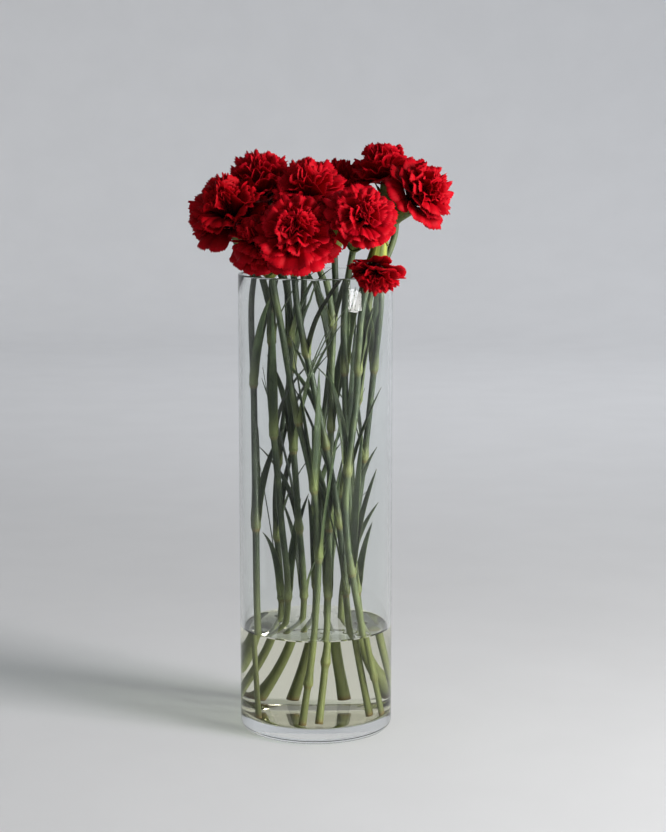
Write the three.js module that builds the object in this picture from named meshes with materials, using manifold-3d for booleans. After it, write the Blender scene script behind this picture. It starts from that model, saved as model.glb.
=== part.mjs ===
// A dozen red carnations standing in water in a tall clear glass cylinder vase.
// Millimetres, +Z up, the origin at the middle of the vase's underside, -Y towards the viewer.

import * as THREE from 'three';
import { mergeVertices } from 'three/addons/utils/BufferGeometryUtils.js';
import Module from 'manifold-3d';

const wasm = await Module();
wasm.setup();

// Driving dimensions of the vase and the water
const VASE_RADIUS = 50;
const VASE_HEIGHT = 300;
const WALL = 2.5;
const FLOOR = 10;
const BASE_ROUNDING = 5;
const FLOOR_ROUNDING = 3;
const RIM_ROUNDING = 1;
const VASE_SIDES = 32;
const WATER_LEVEL = 68;
const GAP = 0.35;

// Driving dimensions of the stems
const STEM_SIDES = 5;
const STEM_RADIUS = 2.1;
const FOOT_RADIUS = 2.4;
const KNOT_RADIUS = 3.4;
const KNOT_HALF_LENGTH = 4.5;
const FOOT_HEIGHT = FLOOR + 1.1;
const HOLE_ROOM = 0.5;
const HOLE_DEPTH = 2;
const ROUTE_HEIGHTS = [FOOT_HEIGHT, WATER_LEVEL, 150, 225, 284];
const NECK_STEPS = [0, 0.4, 0.75];
const SAMPLE_STEP = 4;
const HALVINGS = 24;
const CALYX_LENGTH = 25;
const CALYX_RADII = [[0.06, 3.4], [0.2, 4.6], [0.6, 5.2], [1, 6.2]];

// Driving dimensions of the leaves
const LEAF_WIDTH = 5.6;
const LEAF_KEEL = 1.2;
const LEAF_LENGTHS = [64, 104];
const LEAF_STATIONS = [0, 0.3, 0.7, 1];
const LEAF_HALF_WIDTHS = [0.44, 0.5, 0.32, 0];
const LEAF_RISE = THREE.MathUtils.degToRad(8);
const LEAF_BENDS = [60, 50, 40, 30, 20, 10, 2].map(THREE.MathUtils.degToRad);
const LEAF_SWINGS = [0, 22, -22, 44, -44, 66, -66, 88, -88, 110, -110].map(THREE.MathUtils.degToRad);
const LEAF_SHORTENINGS = [1, 0.85, 0.7, 0.55];
const LEAF_SAMPLES = 26;
const LEAF_ROOM = 1.7;
const LEAF_SPOT_SHARES = [-0.4, 0, 0.4];
const LEAF_SPOT_RADIUS = 1.5;
const LEAF_REACH = 44.3;
const LEAF_TOP = 306;
const LEAF_HEAD_ROOM = 4;
const LEAF_LEVELS = 4;
const LEAF_TURN = 2.4;
const LEAF_SEED = 11;
const LEAST_BEND = 0.001;
const FIRST_LEAF_HEIGHT = 78;
// The space between the stems that stays free of leaves
const CLEAR_SPACE = new THREE.Box3(
  new THREE.Vector3(-29.7, -35.7, 69.3),
  new THREE.Vector3(-6.3, -16.3, 158.7),
);

// Driving dimensions of the blooms, each length a share of the bloom's radius
const PETAL_THICKNESS = 0.9;
const PETAL_MIDDLE = 0.55;
const PETALS_ROUND = 5;
const PETAL_COLUMNS = 4;
const PETAL_LAYERS = [
  { length: 1.14, start: 62, end: 120, step: 0.02, ruffle: 0.08, joint: [0.13, 0.1] },
  { length: 1.1, start: 38, end: 88, step: 0.12, ruffle: 0.09, joint: [0.33, 0.08] },
  { length: 1.04, start: 20, end: 54, step: 0.25, ruffle: 0.07, joint: [0.6, 0.08] },
];
const PETAL_NOTCH = 0.82;
const PETAL_TEETH = 0.04;
const PETAL_LIFT = 0.14;
const HEART_RINGS = [[0.74, 0.13], [0.98, 0.22]];
const HEART_TOP = 0.84;
const HEART_RUFFLE = 0.25;
const HEAD_SHARE = 0.4;
const HEAD_REACH = 1.15;
const PRESS_DEPTH = 7;
const HEADS_APART = 6;
const PETAL_LENGTHS = [0.9, 1.04];
const PETAL_SEED = 101;

// Each flower: its stem's route from the foot to the rim, where its head is, where it faces,
// how wide it is, and how high its knots are
const FLOWERS = [
  { route: [[-34, -22], [-37, -20], [-38, -19], [-40, -4], [-42, 8]],
    head: [-44, 34, 338], facing: [-0.1, 0.5, 0.86], radius: 27, knots: [137, 228] },
  { route: [[-38, 14], [-20, 2], [-23, -12], [-29, -11], [-31, -2]],
    head: [-53, -13, 338], facing: [-0.28, -0.5, 0.82], radius: 28.5,
    knots: [86, 196, 256] },
  { route: [[-8, -38], [-1, -35], [1, -34], [-14, -31], [-25, -14]],
    head: [-32.8, -35.2, 321.5], facing: [-0.15, -0.66, 0.74], radius: 22.5, calyx: 20,
    knots: [38, 120, 164, 208] },
  { route: [[30, -14], [22, -22], [14, -27], [0, -29], [-12, -16]],
    head: [-12, -44, 326], facing: [0.05, -0.75, 0.66], radius: 28, knots: [95, 140, 192, 250] },
  { route: [[-21, 36], [-9, 16], [-12, -4], [-17, 0], [-18, 5]],
    head: [-35, 6, 354], facing: [-0.12, -0.3, 0.94], radius: 29, knots: [84, 132, 185, 255] },
  { route: [[2, -34], [7, -24], [9, -14], [10, -4], [9, 1]],
    head: [-5, -10, 350], facing: [-0.06, -0.4, 0.91], radius: 27, knots: [50, 92, 136, 200, 266] },
  { route: [[-9, 40], [-1, 27], [-1, 20], [8, 19], [13, 14]],
    head: [18, 27, 349], facing: [0.15, 0.3, 0.94], radius: 25.5, knots: [88, 134, 186, 245] },
  { route: [[38, 14], [30, 4], [22, -6], [19, -14], [19, -17]],
    head: [28.5, -50, 338], facing: [0.12, -0.8, 0.58], radius: 23.5, depth: 0.9,
    knots: [90, 128, 170, 238] },
  { route: [[10, 40], [7, 31], [17, 30], [30, 22], [36, 11]],
    head: [44, 10, 364], facing: [-0.24, -0.15, 0.96], radius: 21.5, openness: 0.84,
    knots: [82, 150, 214, 272] },
  { route: [[26, 32], [17, 24], [29, 14], [37, 6], [42, -5]],
    head: [66, -15, 350], facing: [0.7, -0.4, 0.6], radius: 24, knots: [60, 121, 177, 237] },
  { route: [[39, -14], [30, -27], [19, -36], [26, -30], [30, -28]],
    head: [37.5, -44.5, 303.2], facing: [-0.15, -0.42, -0.89], radius: 19, calyx: 17,
    depth: 0.78, crest: [39, -24, 319], knots: [38, 110, 176, 240] },
  { route: [[-33, 27], [-24, 22], [-27, 19], [-18, 26], [-8, 24]],
    head: [-12, 40, 340], facing: [-0.1, 0.45, 0.89], radius: 26, knots: [80, 122, 172, 235] },
];

const CLEAR_GLASS = {
  color: 0xdfe6e4, roughness: 0.03, metalness: 0, transparent: true, opacity: 0.25,
};
const STILL_WATER = {
  color: 0xe2dfcd, roughness: 0.02, metalness: 0, transparent: true, opacity: 0.3,
};
const STEM_GREEN = { color: 0x5c7350, roughness: 0.6, metalness: 0 };
const PETAL_RED = { color: 0xb5121f, roughness: 0.65, metalness: 0, side: THREE.DoubleSide };

// A small seeded sequence, so the leaves and petals always fall alike
function makeDraw(seed) {
  let state = seed;
  return () => {
    state = (state * 1664525 + 1013904223) % 4294967296;
    return state / 4294967296;
  };
}

const vector = ([x, y, z]) => new THREE.Vector3(x, y, z);

// Solids and meshes
function toSolid(geometry) {
  const bare = geometry.clone();
  bare.deleteAttribute('normal');
  bare.deleteAttribute('uv');
  const merged = mergeVertices(bare, 1e-4);
  const corners = merged.index.array;
  const kept = [];
  for (let i = 0; i < corners.length; i += 3) {
    const [a, b, c] = corners.slice(i, i + 3);
    if (a !== b && b !== c && c !== a) kept.push(a, b, c);
  }
  return new wasm.Manifold(new wasm.Mesh({
    numProp: 3,
    vertProperties: new Float32Array(merged.attributes.position.array),
    triVerts: new Uint32Array(kept),
  }));
}

function toGeometry(solid) {
  const mesh = solid.getMesh();
  const geometry = new THREE.BufferGeometry();
  geometry.setAttribute('position', new THREE.BufferAttribute(mesh.vertProperties, 3));
  geometry.setIndex(new THREE.BufferAttribute(mesh.triVerts, 1));
  return geometry;
}

// The largest body of a solid, without loose scraps
function mainBody(solid) {
  const bodies = solid.decompose();
  return bodies.reduce((best, body) => (body.volume() > best.volume() ? body : best));
}

function meshOf(name, solid, look) {
  const mesh = new THREE.Mesh(toGeometry(solid), new THREE.MeshStandardMaterial(look));
  mesh.name = name;
  return mesh;
}

// A closed solid through rings of points, each ring seen anticlockwise from the solid's far end.
// A first or last ring of one point makes a tip, and any other end is closed flat.
function ringSolid(rings) {
  const triangles = [];
  let start = 0;
  for (let i = 2; i < rings[0].length; i++) triangles.push(0, i, i - 1);
  for (let ring = 1; ring < rings.length; ring++) {
    const near = rings[ring - 1].length;
    const far = rings[ring].length;
    const next = start + near;
    const sides = Math.max(near, far);
    for (let i = 0; i < sides; i++) {
      const j = (i + 1) % sides;
      if (far > 1) triangles.push(start + (i % near), next + j, next + i);
      if (near > 1) triangles.push(start + i, start + j, next + (j % far));
    }
    start = next;
  }
  for (let i = 2; i < rings.at(-1).length; i++) triangles.push(start, start + i - 1, start + i);
  const geometry = new THREE.BufferGeometry().setFromPoints(rings.flat());
  geometry.setIndex(triangles);
  return toSolid(geometry);
}

// A smooth path through points: cubic pieces whose slopes are weighted by the chords beside them
function makePath(points) {
  const chords = points.slice(1).map((point, i) => point.distanceTo(points[i]));
  const steps = chords.map((chord, i) => points[i + 1].clone().sub(points[i]).divideScalar(chord));
  const slopes = points.map((_, i) => {
    if (i === 0) return steps[0];
    if (i === chords.length) return steps[i - 1];
    const total = chords[i - 1] + chords[i];
    return steps[i - 1].clone().multiplyScalar(chords[i] / total)
      .addScaledVector(steps[i], chords[i - 1] / total);
  });
  return { points, chords, slopes };
}

function pathPoint(path, piece, t) {
  const chord = path.chords[piece];
  return new THREE.Vector3()
    .addScaledVector(path.points[piece], (1 + 2 * t) * (1 - t) * (1 - t))
    .addScaledVector(path.slopes[piece], t * (1 - t) * (1 - t) * chord)
    .addScaledVector(path.points[piece + 1], t * t * (3 - 2 * t))
    .addScaledVector(path.slopes[piece + 1], t * t * (t - 1) * chord);
}

// Points and radii turned into rings that follow the path without twisting
function ringsAlong(stations, sides) {
  let side = new THREE.Vector3(1, 0, 0);
  return stations.map(({ point, radius }, i) => {
    const before = stations[Math.max(i - 1, 0)].point;
    const after = stations[Math.min(i + 1, stations.length - 1)].point;
    const along = after.clone().sub(before).normalize();
    side = side.clone().addScaledVector(along, -side.dot(along)).normalize();
    const across = along.clone().cross(side);
    return Array.from({ length: sides }, (_, k) => {
      const turn = (2 * Math.PI * k) / sides;
      return point.clone()
        .addScaledVector(side, radius * Math.cos(turn))
        .addScaledVector(across, radius * Math.sin(turn));
    });
  });
}

// The vase and the water
function latheSolid(profile) {
  const points = profile.map(([radius, height]) => new THREE.Vector2(radius, height));
  const geometry = new THREE.LatheGeometry(points, VASE_SIDES);
  geometry.rotateX(Math.PI / 2);
  return toSolid(geometry);
}

function arc(centreR, centreZ, radius, from, to, steps) {
  return Array.from({ length: steps + 1 }, (_, i) => {
    const angle = THREE.MathUtils.degToRad(from + ((to - from) * i) / steps);
    return [centreR + radius * Math.cos(angle), centreZ + radius * Math.sin(angle)];
  });
}

function makeVase() {
  const inner = VASE_RADIUS - WALL;
  return latheSolid([
    [0, 0],
    ...arc(VASE_RADIUS - BASE_ROUNDING, BASE_ROUNDING, BASE_ROUNDING, -90, 0, 3),
    ...arc(VASE_RADIUS - RIM_ROUNDING, VASE_HEIGHT - RIM_ROUNDING, RIM_ROUNDING, 0, 90, 1),
    ...arc(inner + RIM_ROUNDING, VASE_HEIGHT - RIM_ROUNDING, RIM_ROUNDING, 90, 180, 1),
    ...arc(inner - FLOOR_ROUNDING, FLOOR + FLOOR_ROUNDING, FLOOR_ROUNDING, 0, -90, 2),
    [0, FLOOR],
  ]);
}

function makeWater(stems) {
  const radius = VASE_RADIUS - WALL - GAP;
  const rounding = FLOOR_ROUNDING;
  const body = latheSolid([
    [0, FLOOR + GAP],
    ...arc(radius - rounding, FLOOR + GAP + rounding, rounding, -90, 0, 2),
    [radius, WATER_LEVEL],
    [0, WATER_LEVEL],
  ]);
  return mainBody(body.subtract(wasm.Manifold.union(stems.map(makeStemHole))));
}

// Stems
function makeFlower(flower, index) {
  const facing = vector(flower.facing).normalize();
  const base = vector(flower.head).addScaledVector(facing, -HEAD_SHARE * flower.radius);
  const calyx = flower.calyx ?? CALYX_LENGTH;
  const neck = base.clone().addScaledVector(facing, -calyx);
  const route = flower.route.map(([x, y], i) => new THREE.Vector3(x, y, ROUTE_HEIGHTS[i]));
  const crest = flower.crest ? [vector(flower.crest)] : [];
  const path = makePath([...route, ...crest, neck, base]);
  return {
    depth: 1, openness: 1, ...flower, index, facing, base, calyx, neck, path,
    centre: vector(flower.head),
  };
}

// Where the path of a stem reaches a height, found by halving
function pathAtHeight(path, height) {
  const piece = ROUTE_HEIGHTS.findLastIndex((level) => level <= height);
  let low = 0;
  let high = 1;
  for (let i = 0; i < HALVINGS; i++) {
    const middle = (low + high) / 2;
    if (pathPoint(path, piece, middle).z < height) low = middle;
    else high = middle;
  }
  return pathPoint(path, piece, low);
}

function stemStations(flower, extra) {
  const last = flower.path.points.length - 2;
  const heights = new Map(ROUTE_HEIGHTS.slice(1, -1).map((height) => [height, STEM_RADIUS]));
  for (const knot of flower.knots) {
    for (const height of [...heights.keys()]) {
      if (Math.abs(height - knot) < 3 * KNOT_HALF_LENGTH) heights.delete(height);
    }
    heights.set(knot - KNOT_HALF_LENGTH, STEM_RADIUS);
    heights.set(knot, KNOT_RADIUS);
    heights.set(knot + KNOT_HALF_LENGTH, STEM_RADIUS);
  }
  const ordered = [...heights].sort((a, b) => a[0] - b[0]);
  const above = [];
  for (let piece = ROUTE_HEIGHTS.length - 1; piece < last; piece++) {
    for (const t of NECK_STEPS) {
      above.push({ point: pathPoint(flower.path, piece, t), radius: STEM_RADIUS + extra });
    }
  }
  return [
    { point: flower.path.points[0], radius: FOOT_RADIUS + extra },
    ...ordered.map(([height, radius]) => ({
      point: pathAtHeight(flower.path, height), radius: radius + extra,
    })),
    ...above,
    { point: flower.neck, radius: STEM_RADIUS + extra },
    ...CALYX_RADII.map(([share, radius]) => ({
      point: flower.neck.clone().addScaledVector(flower.facing, share * flower.calyx),
      radius: radius + extra,
    })),
  ];
}

// The hole that a stem leaves in the water, open below its foot
function makeStemHole(flower) {
  const rings = ringsAlong(stemStations(flower, HOLE_ROOM), STEM_SIDES);
  const dry = rings.findIndex((ring) => ring.every(({ z }) => z > WATER_LEVEL));
  const wet = rings.slice(0, dry + 1);
  const below = wet[0].map((point) => point.clone().setZ(FLOOR - HOLE_DEPTH));
  return ringSolid([below, ...wet]);
}

// Leaves: pairs on the knots, each pair square to the one below, swung and bent clear of the rest
function leafPoint(leaf, t) {
  const angle = LEAF_RISE + (leaf.bend - LEAF_RISE) * t;
  const turn = leaf.bend - LEAF_RISE;
  const out = (leaf.length * (Math.cos(LEAF_RISE) - Math.cos(angle))) / turn;
  const up = (leaf.length * (Math.sin(angle) - Math.sin(LEAF_RISE))) / turn;
  return leaf.base.clone().addScaledVector(leaf.out, out).add(new THREE.Vector3(0, 0, up));
}

function leafSamples(leaf) {
  return Array.from({ length: LEAF_SAMPLES }, (_, i) => leafPoint(leaf, (i + 1) / LEAF_SAMPLES));
}

function leafAcross(leaf) {
  return new THREE.Vector3(-leaf.out.y, leaf.out.x, 0);
}

// Small balls that fill a leaf, for later leaves to keep clear of
function leafSpots(leaf) {
  const across = leafAcross(leaf);
  return leafSamples(leaf).flatMap((point) => LEAF_SPOT_SHARES.map((share) => ({
    point: point.clone().addScaledVector(across, share * LEAF_WIDTH),
    radius: LEAF_SPOT_RADIUS,
    owner: leaf.owner,
  })));
}

function stemSamples(flower) {
  const stations = stemStations(flower, 0);
  return stations.slice(1).flatMap(({ point, radius }, i) => {
    const from = stations[i];
    const steps = Math.ceil(point.distanceTo(from.point) / SAMPLE_STEP);
    return Array.from({ length: steps }, (_, k) => ({
      point: from.point.clone().lerp(point, (k + 1) / steps),
      radius: Math.max(radius, from.radius),
    }));
  });
}

function leafFits(leaf, flowers, obstacles) {
  const across = leafAcross(leaf);
  return leafSamples(leaf).every((point) => {
    if (Math.hypot(point.x, point.y) > LEAF_REACH || point.z > LEAF_TOP) return false;
    if (CLEAR_SPACE.distanceToPoint(point) < LEAF_WIDTH / 2) return false;
    const nearHead = flowers.some(({ centre, radius }) => (
      point.distanceTo(centre) < radius + LEAF_HEAD_ROOM));
    if (nearHead) return false;
    return obstacles.every((obstacle) => {
      if (obstacle.owner === leaf.owner) return true;
      const way = obstacle.point.clone().sub(point);
      const sideways = THREE.MathUtils.clamp(way.dot(across), -LEAF_WIDTH / 2, LEAF_WIDTH / 2);
      return way.addScaledVector(across, -sideways).length() > obstacle.radius + LEAF_ROOM;
    });
  });
}

function findLeaf(plan, flowers, obstacles) {
  for (const shortening of LEAF_SHORTENINGS) {
    for (const bend of LEAF_BENDS) {
      for (const swing of LEAF_SWINGS) {
        const azimuth = plan.azimuth + swing;
        const leaf = {
          ...plan,
          bend: bend + LEAST_BEND,
          length: plan.length * shortening,
          out: new THREE.Vector3(Math.cos(azimuth), Math.sin(azimuth), 0),
        };
        if (leafFits(leaf, flowers, obstacles)) return leaf;
      }
    }
  }
  return null;
}

function placeLeaves(flowers) {
  const draw = makeDraw(LEAF_SEED);
  const obstacles = flowers.flatMap((flower) => (
    stemSamples(flower).map((sample) => ({ ...sample, owner: flower.index }))));
  const leaves = [];
  for (let level = 0; level < LEAF_LEVELS; level++) {
    for (const flower of flowers) {
      const knots = flower.knots.filter((height) => height > FIRST_LEAF_HEIGHT);
      if (level >= knots.length) continue;
      for (const side of [0, 1]) {
        const plan = {
          owner: flower.index,
          base: pathAtHeight(flower.path, knots[level]),
          azimuth: LEAF_TURN * flower.index + (Math.PI / 2) * level + Math.PI * side,
          length: THREE.MathUtils.lerp(...LEAF_LENGTHS, draw()),
        };
        const leaf = findLeaf(plan, flowers, obstacles);
        if (!leaf) continue;
        leaves.push(leaf);
        obstacles.push(...leafSpots(leaf));
      }
    }
  }
  return leaves;
}

// A channelled blade: flat above, keeled below, narrowing to a point
function makeLeaf(leaf) {
  const across = leafAcross(leaf);
  return ringSolid(LEAF_STATIONS.map((t, i) => {
    const point = leafPoint(leaf, t);
    const halfWidth = LEAF_HALF_WIDTHS[i] * LEAF_WIDTH;
    if (halfWidth === 0) return [point];
    const angle = LEAF_RISE + (leaf.bend - LEAF_RISE) * t;
    const under = leaf.out.clone().multiplyScalar(Math.cos(angle)).setZ(-Math.sin(angle));
    return [
      point.clone().addScaledVector(across, halfWidth),
      point.clone().addScaledVector(across, -halfWidth),
      point.clone().addScaledVector(under, LEAF_KEEL),
    ];
  }));
}

function makeLeafyStem(flower, leaves) {
  const pieces = [ringSolid(ringsAlong(stemStations(flower, 0), STEM_SIDES))];
  for (const leaf of leaves) {
    if (leaf.owner === flower.index) pieces.push(makeLeaf(leaf));
  }
  return mainBody(wasm.Manifold.union(pieces));
}

// Blooms: a plane bounds a head wherever another head, or another flower's stem, presses on it
function headPlane(flower, other) {
  const between = other.centre.clone().sub(flower.centre);
  const distance = between.length();
  if (distance > flower.radius + other.radius + HEADS_APART) return [];
  const share = (distance ** 2 + flower.radius ** 2 - other.radius ** 2) / (2 * distance);
  return [makePlane(flower, between.divideScalar(distance), share - GAP / 2)];
}

function stemPlane(flower, other) {
  const spots = stemSamples(other).map(({ point, radius }) => {
    const between = point.clone().sub(flower.centre);
    return { between, room: between.length() - radius - GAP - PETAL_THICKNESS };
  });
  const nearest = spots.reduce((best, spot) => (spot.room < best.room ? spot : best));
  if (nearest.room > HEAD_REACH * flower.radius) return [];
  return [makePlane(flower, nearest.between.normalize(), nearest.room)];
}

function makePlane(flower, normal, share) {
  return { normal, offset: normal.dot(flower.centre) + share };
}

// A head that hangs over the rim lies against the outside of the vase
function vasePlane(flower) {
  const { x, y, z } = flower.centre;
  const distance = Math.hypot(x, y);
  if (distance < VASE_RADIUS || z - flower.radius > VASE_HEIGHT) return [];
  const inward = new THREE.Vector3(-x / distance, -y / distance, 0);
  return [makePlane(flower, inward, distance - VASE_RADIUS - GAP)];
}

function pressPlanes(flower, flowers) {
  const others = flowers.filter((other) => other !== flower);
  return [
    ...others.flatMap((other) => headPlane(flower, other)),
    ...others.flatMap((other) => stemPlane(flower, other)),
    ...vasePlane(flower),
  ];
}

// Moves a point that would pass a plane back, the more the further it would reach
function press(point, planes) {
  for (const { normal, offset } of planes) {
    const past = normal.dot(point) - offset + PRESS_DEPTH;
    if (past > 0) {
      const kept = PRESS_DEPTH * (1 - Math.exp(-past / PRESS_DEPTH));
      point.addScaledVector(normal, kept - past);
    }
  }
  return point;
}

// The two directions square to the way a flower faces
function flowerSides(flower) {
  const side = new THREE.Vector3(1, 0, 0)
    .addScaledVector(flower.facing, -flower.facing.x).normalize();
  return [side, flower.facing.clone().cross(side)];
}

// A ring of points about the flower's axis, each height and reach a share of its radius
function ringAbout(flower, planes, height, reachAt) {
  const [side, forward] = flowerSides(flower);
  const columns = PETALS_ROUND * PETAL_COLUMNS;
  return Array.from({ length: columns }, (_, column) => {
    const turn = (2 * Math.PI * column) / columns + flower.index;
    const reach = reachAt(column) * flower.radius;
    const point = flower.base.clone()
      .addScaledVector(flower.facing, height * flower.depth * flower.radius + GAP)
      .addScaledVector(side, reach * Math.cos(turn))
      .addScaledVector(forward, reach * Math.sin(turn));
    return press(point, planes);
  });
}

// One ring of a layer of waved, notched and toothed petals, with its under and upper faces
function petalRing(flower, planes, layer, petals, shift, along) {
  const [side, forward] = flowerSides(flower);
  const columns = PETALS_ROUND * PETAL_COLUMNS;
  const start = THREE.MathUtils.degToRad(layer.start);
  const turn = THREE.MathUtils.degToRad(layer.end) * flower.openness - start;
  const edge = along === 1;
  const under = [];
  const upper = [];
  for (let column = 0; column < columns; column++) {
    const place = (column + shift) % PETAL_COLUMNS;
    const petal = petals[Math.floor((column + shift) / PETAL_COLUMNS) % PETALS_ROUND];
    const wave = column % 2 === 0 ? 1 : -1;
    const trim = edge ? (1 + PETAL_TEETH * wave) * (place === 0 ? PETAL_NOTCH : 1) : 1;
    const lift = (edge ? layer.ruffle : layer.ruffle / 3) * wave + petal.lift * along;
    const angle = start + turn * along * petal.length * trim;
    const length = layer.length * flower.radius;
    const reach = (length * (Math.cos(start) - Math.cos(angle))) / turn;
    const rise = (length * flower.depth * (Math.sin(angle) - Math.sin(start))) / turn;
    const about = (2 * Math.PI * column) / columns + flower.index;
    const out = side.clone().multiplyScalar(Math.cos(about))
      .addScaledVector(forward, Math.sin(about));
    const normal = flower.facing.clone().multiplyScalar(Math.sin(angle))
      .addScaledVector(out, -Math.cos(angle));
    const point = flower.base.clone()
      .addScaledVector(flower.facing, rise + GAP + layer.step * flower.depth * flower.radius)
      .addScaledVector(out, reach)
      .addScaledVector(normal, lift * flower.radius);
    press(point, planes);
    under.push(point.clone().addScaledVector(normal, -PETAL_THICKNESS / 2));
    upper.push(point.addScaledVector(normal, PETAL_THICKNESS / 2));
  }
  return [under, upper];
}

// The bloom's skin: from the foot out under each layer of petals, over its edge and back in
// to the next, and at last over the crumpled heart
function makeBloom(flower, flowers) {
  const draw = makeDraw(PETAL_SEED + flower.index);
  const planes = pressPlanes(flower, flowers);
  const foot = flower.base.clone().addScaledVector(flower.facing, GAP);
  const rings = [[foot]];
  PETAL_LAYERS.forEach((layer, depth) => {
    const petals = Array.from({ length: PETALS_ROUND }, () => ({
      length: THREE.MathUtils.lerp(...PETAL_LENGTHS, draw()),
      lift: PETAL_LIFT * (draw() - 0.5),
    }));
    const shift = (depth * PETAL_COLUMNS) / 2;
    const middle = petalRing(flower, planes, layer, petals, shift, PETAL_MIDDLE);
    const edge = petalRing(flower, planes, layer, petals, shift, 1);
    const joint = ringAbout(flower, planes, layer.joint[0], () => layer.joint[1]);
    rings.push(middle[0], edge[0], edge[1], middle[1], joint);
  });
  for (const [height, reach] of HEART_RINGS) {
    rings.push(ringAbout(flower, planes, height, (column) => (
      reach * (1 + HEART_RUFFLE * (column % 2 === 0 ? 1 : -1)))));
  }
  const top = HEART_TOP * flower.depth * flower.radius;
  rings.push([flower.base.clone().addScaledVector(flower.facing, top)]);
  let bloom = ringSolid(rings);
  for (const { normal, offset } of planes) {
    bloom = bloom.trimByPlane(normal.clone().negate().toArray(), -offset);
  }
  return mainBody(bloom);
}

const flowers = FLOWERS.map(makeFlower);
const leaves = placeLeaves(flowers);
const group = new THREE.Group();

group.add(meshOf('vase', makeVase(), CLEAR_GLASS));
group.add(meshOf('water', makeWater(flowers), STILL_WATER));
for (const flower of flowers) {
  const number = String(flower.index + 1).padStart(2, '0');
  group.add(meshOf(`leafy_stem_${number}`, makeLeafyStem(flower, leaves), STEM_GREEN));
  group.add(meshOf(`bloom_${number}`, makeBloom(flower, flowers), PETAL_RED));
}

export default group;
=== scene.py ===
"""A dozen red carnations standing in water in a tall clear glass cylinder vase.

Metres, +Z up, the origin at the middle of the vase's underside, -Y towards the viewer. Each
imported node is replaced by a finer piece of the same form: the vase and the water are turned
profiles, each stem is a tube with knots, a calyx and channelled leaves, and each bloom is
layers of thin toothed petals that lie against their neighbours.
"""

import logging
import math
from dataclasses import dataclass, field
from enum import Enum
from typing import ClassVar

import bpy
import numpy as np
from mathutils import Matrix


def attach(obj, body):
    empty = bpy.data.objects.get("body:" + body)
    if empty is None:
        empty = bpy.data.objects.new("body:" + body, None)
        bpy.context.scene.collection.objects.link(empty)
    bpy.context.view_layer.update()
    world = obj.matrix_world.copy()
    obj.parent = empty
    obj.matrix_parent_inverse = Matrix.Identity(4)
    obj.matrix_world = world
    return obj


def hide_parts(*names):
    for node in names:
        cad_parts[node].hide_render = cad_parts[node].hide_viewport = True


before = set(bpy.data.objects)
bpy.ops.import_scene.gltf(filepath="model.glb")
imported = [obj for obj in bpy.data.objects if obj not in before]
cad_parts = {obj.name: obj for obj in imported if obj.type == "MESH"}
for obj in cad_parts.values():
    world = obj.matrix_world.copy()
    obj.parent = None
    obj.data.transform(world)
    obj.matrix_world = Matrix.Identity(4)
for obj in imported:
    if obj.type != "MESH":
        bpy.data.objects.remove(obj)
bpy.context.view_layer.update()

log = logging.getLogger("carnations")

Array = np.ndarray
MM = 0.001
GAP = 0.35 * MM
RIGHT = np.array([1.0, 0.0, 0.0])
UP = np.array([0.0, 0.0, 1.0])
MARKS = "marks"


def unit(vectors: Array) -> Array:
    """Vectors scaled to a length of one."""
    return vectors / np.linalg.norm(vectors, axis=-1, keepdims=True)


def smooth_step(low: float, high: float, value: Array) -> Array:
    """0 below low, 1 above high, and a smooth rise between them."""
    share = np.clip((value - low) / (high - low), 0, 1)
    return share * share * (3 - 2 * share)


def bump_at(value: Array, centre: float, width: Array | float) -> Array:
    """A rounded bump: 1 at the centre, and falling off over the width to either side."""
    return np.exp(-(((value - centre) / width) ** 2))


def uneven_bump(value: Array, centre: float, below: float, above: float) -> Array:
    """A rounded bump that is of one width below its centre and of another above it."""
    return bump_at(value, centre, np.where(value < centre, below, above))


def spokes(side: Array, forward: Array, angle: Array) -> Array:
    """Unit ways at angles that go round from the side direction towards the forward one."""
    return side * np.cos(angle)[..., None] + forward * np.sin(angle)[..., None]


def up_at(radius: float, heights: Array) -> Array:
    """Points of a profile at one radius, one radius and height in a row."""
    return np.stack([np.full(len(heights), radius), heights], axis=-1)


def out_at(height: float, radii: Array) -> Array:
    """Points of a profile at one height, one radius and height in a row."""
    return np.stack([radii, np.full(len(radii), height)], axis=-1)


def marks_of(*numbers: Array | float) -> Array:
    """Three numbers or arrays as the marks of points, spread out to the shape they share."""
    return np.stack(np.broadcast_arrays(*numbers), axis=-1)


def linear(code: str, alpha: float = 1.0) -> tuple[float, float, float, float]:
    """The linear colour of an sRGB hex value.

    Args:
        code: six hex digits, such as "b5121f".
        alpha: the fourth value.

    Returns:
        Red, green, blue and alpha as Blender's sockets take them.
    """
    shares = [int(code[i : i + 2], 16) / 255 for i in (0, 2, 4)]
    red, green, blue = (
        s / 12.92 if s <= 0.04045 else ((s + 0.055) / 1.055) ** 2.4 for s in shares
    )
    return (red, green, blue, alpha)


# Surfaces
@dataclass
class Patch:
    """A bit of surface.

    Attributes:
        points: one row for each point.
        faces: four corners in a row, anticlockwise from outside, a triangle's fourth being -1.
        marks: three numbers for each point that its material reads.
        finish: which of the piece's materials it takes, as a whole or face by face.
    """

    points: Array
    faces: Array
    marks: Array
    finish: int | Array = 0


NO_MARKS = np.zeros(3)


def grid_faces(rows: int, columns: int, closed: bool = False) -> Array:
    """Four-sided faces over a grid of points, with the last column joined to the first if closed.

    Args:
        rows: how many rows of points.
        columns: how many points in a row.
        closed: whether the rows are rings.

    Returns:
        The corners, which turn from the column's way towards the row's way.
    """
    row = np.arange(rows - 1)[:, None] * columns
    column = np.arange(columns if closed else columns - 1)[None, :]
    right = (column + 1) % columns
    corners = [row + column, row + right, row + columns + right, row + columns + column]
    return np.stack(corners, axis=-1).reshape(-1, 4)


def fan(centre: int, ring: Array) -> Array:
    """Triangles from a centre point to a closed ring of points, anticlockwise as the ring is."""
    following = np.roll(ring, -1)
    return np.stack(
        [np.full_like(ring, centre), ring, following, np.full_like(ring, -1)], axis=-1
    )


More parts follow.
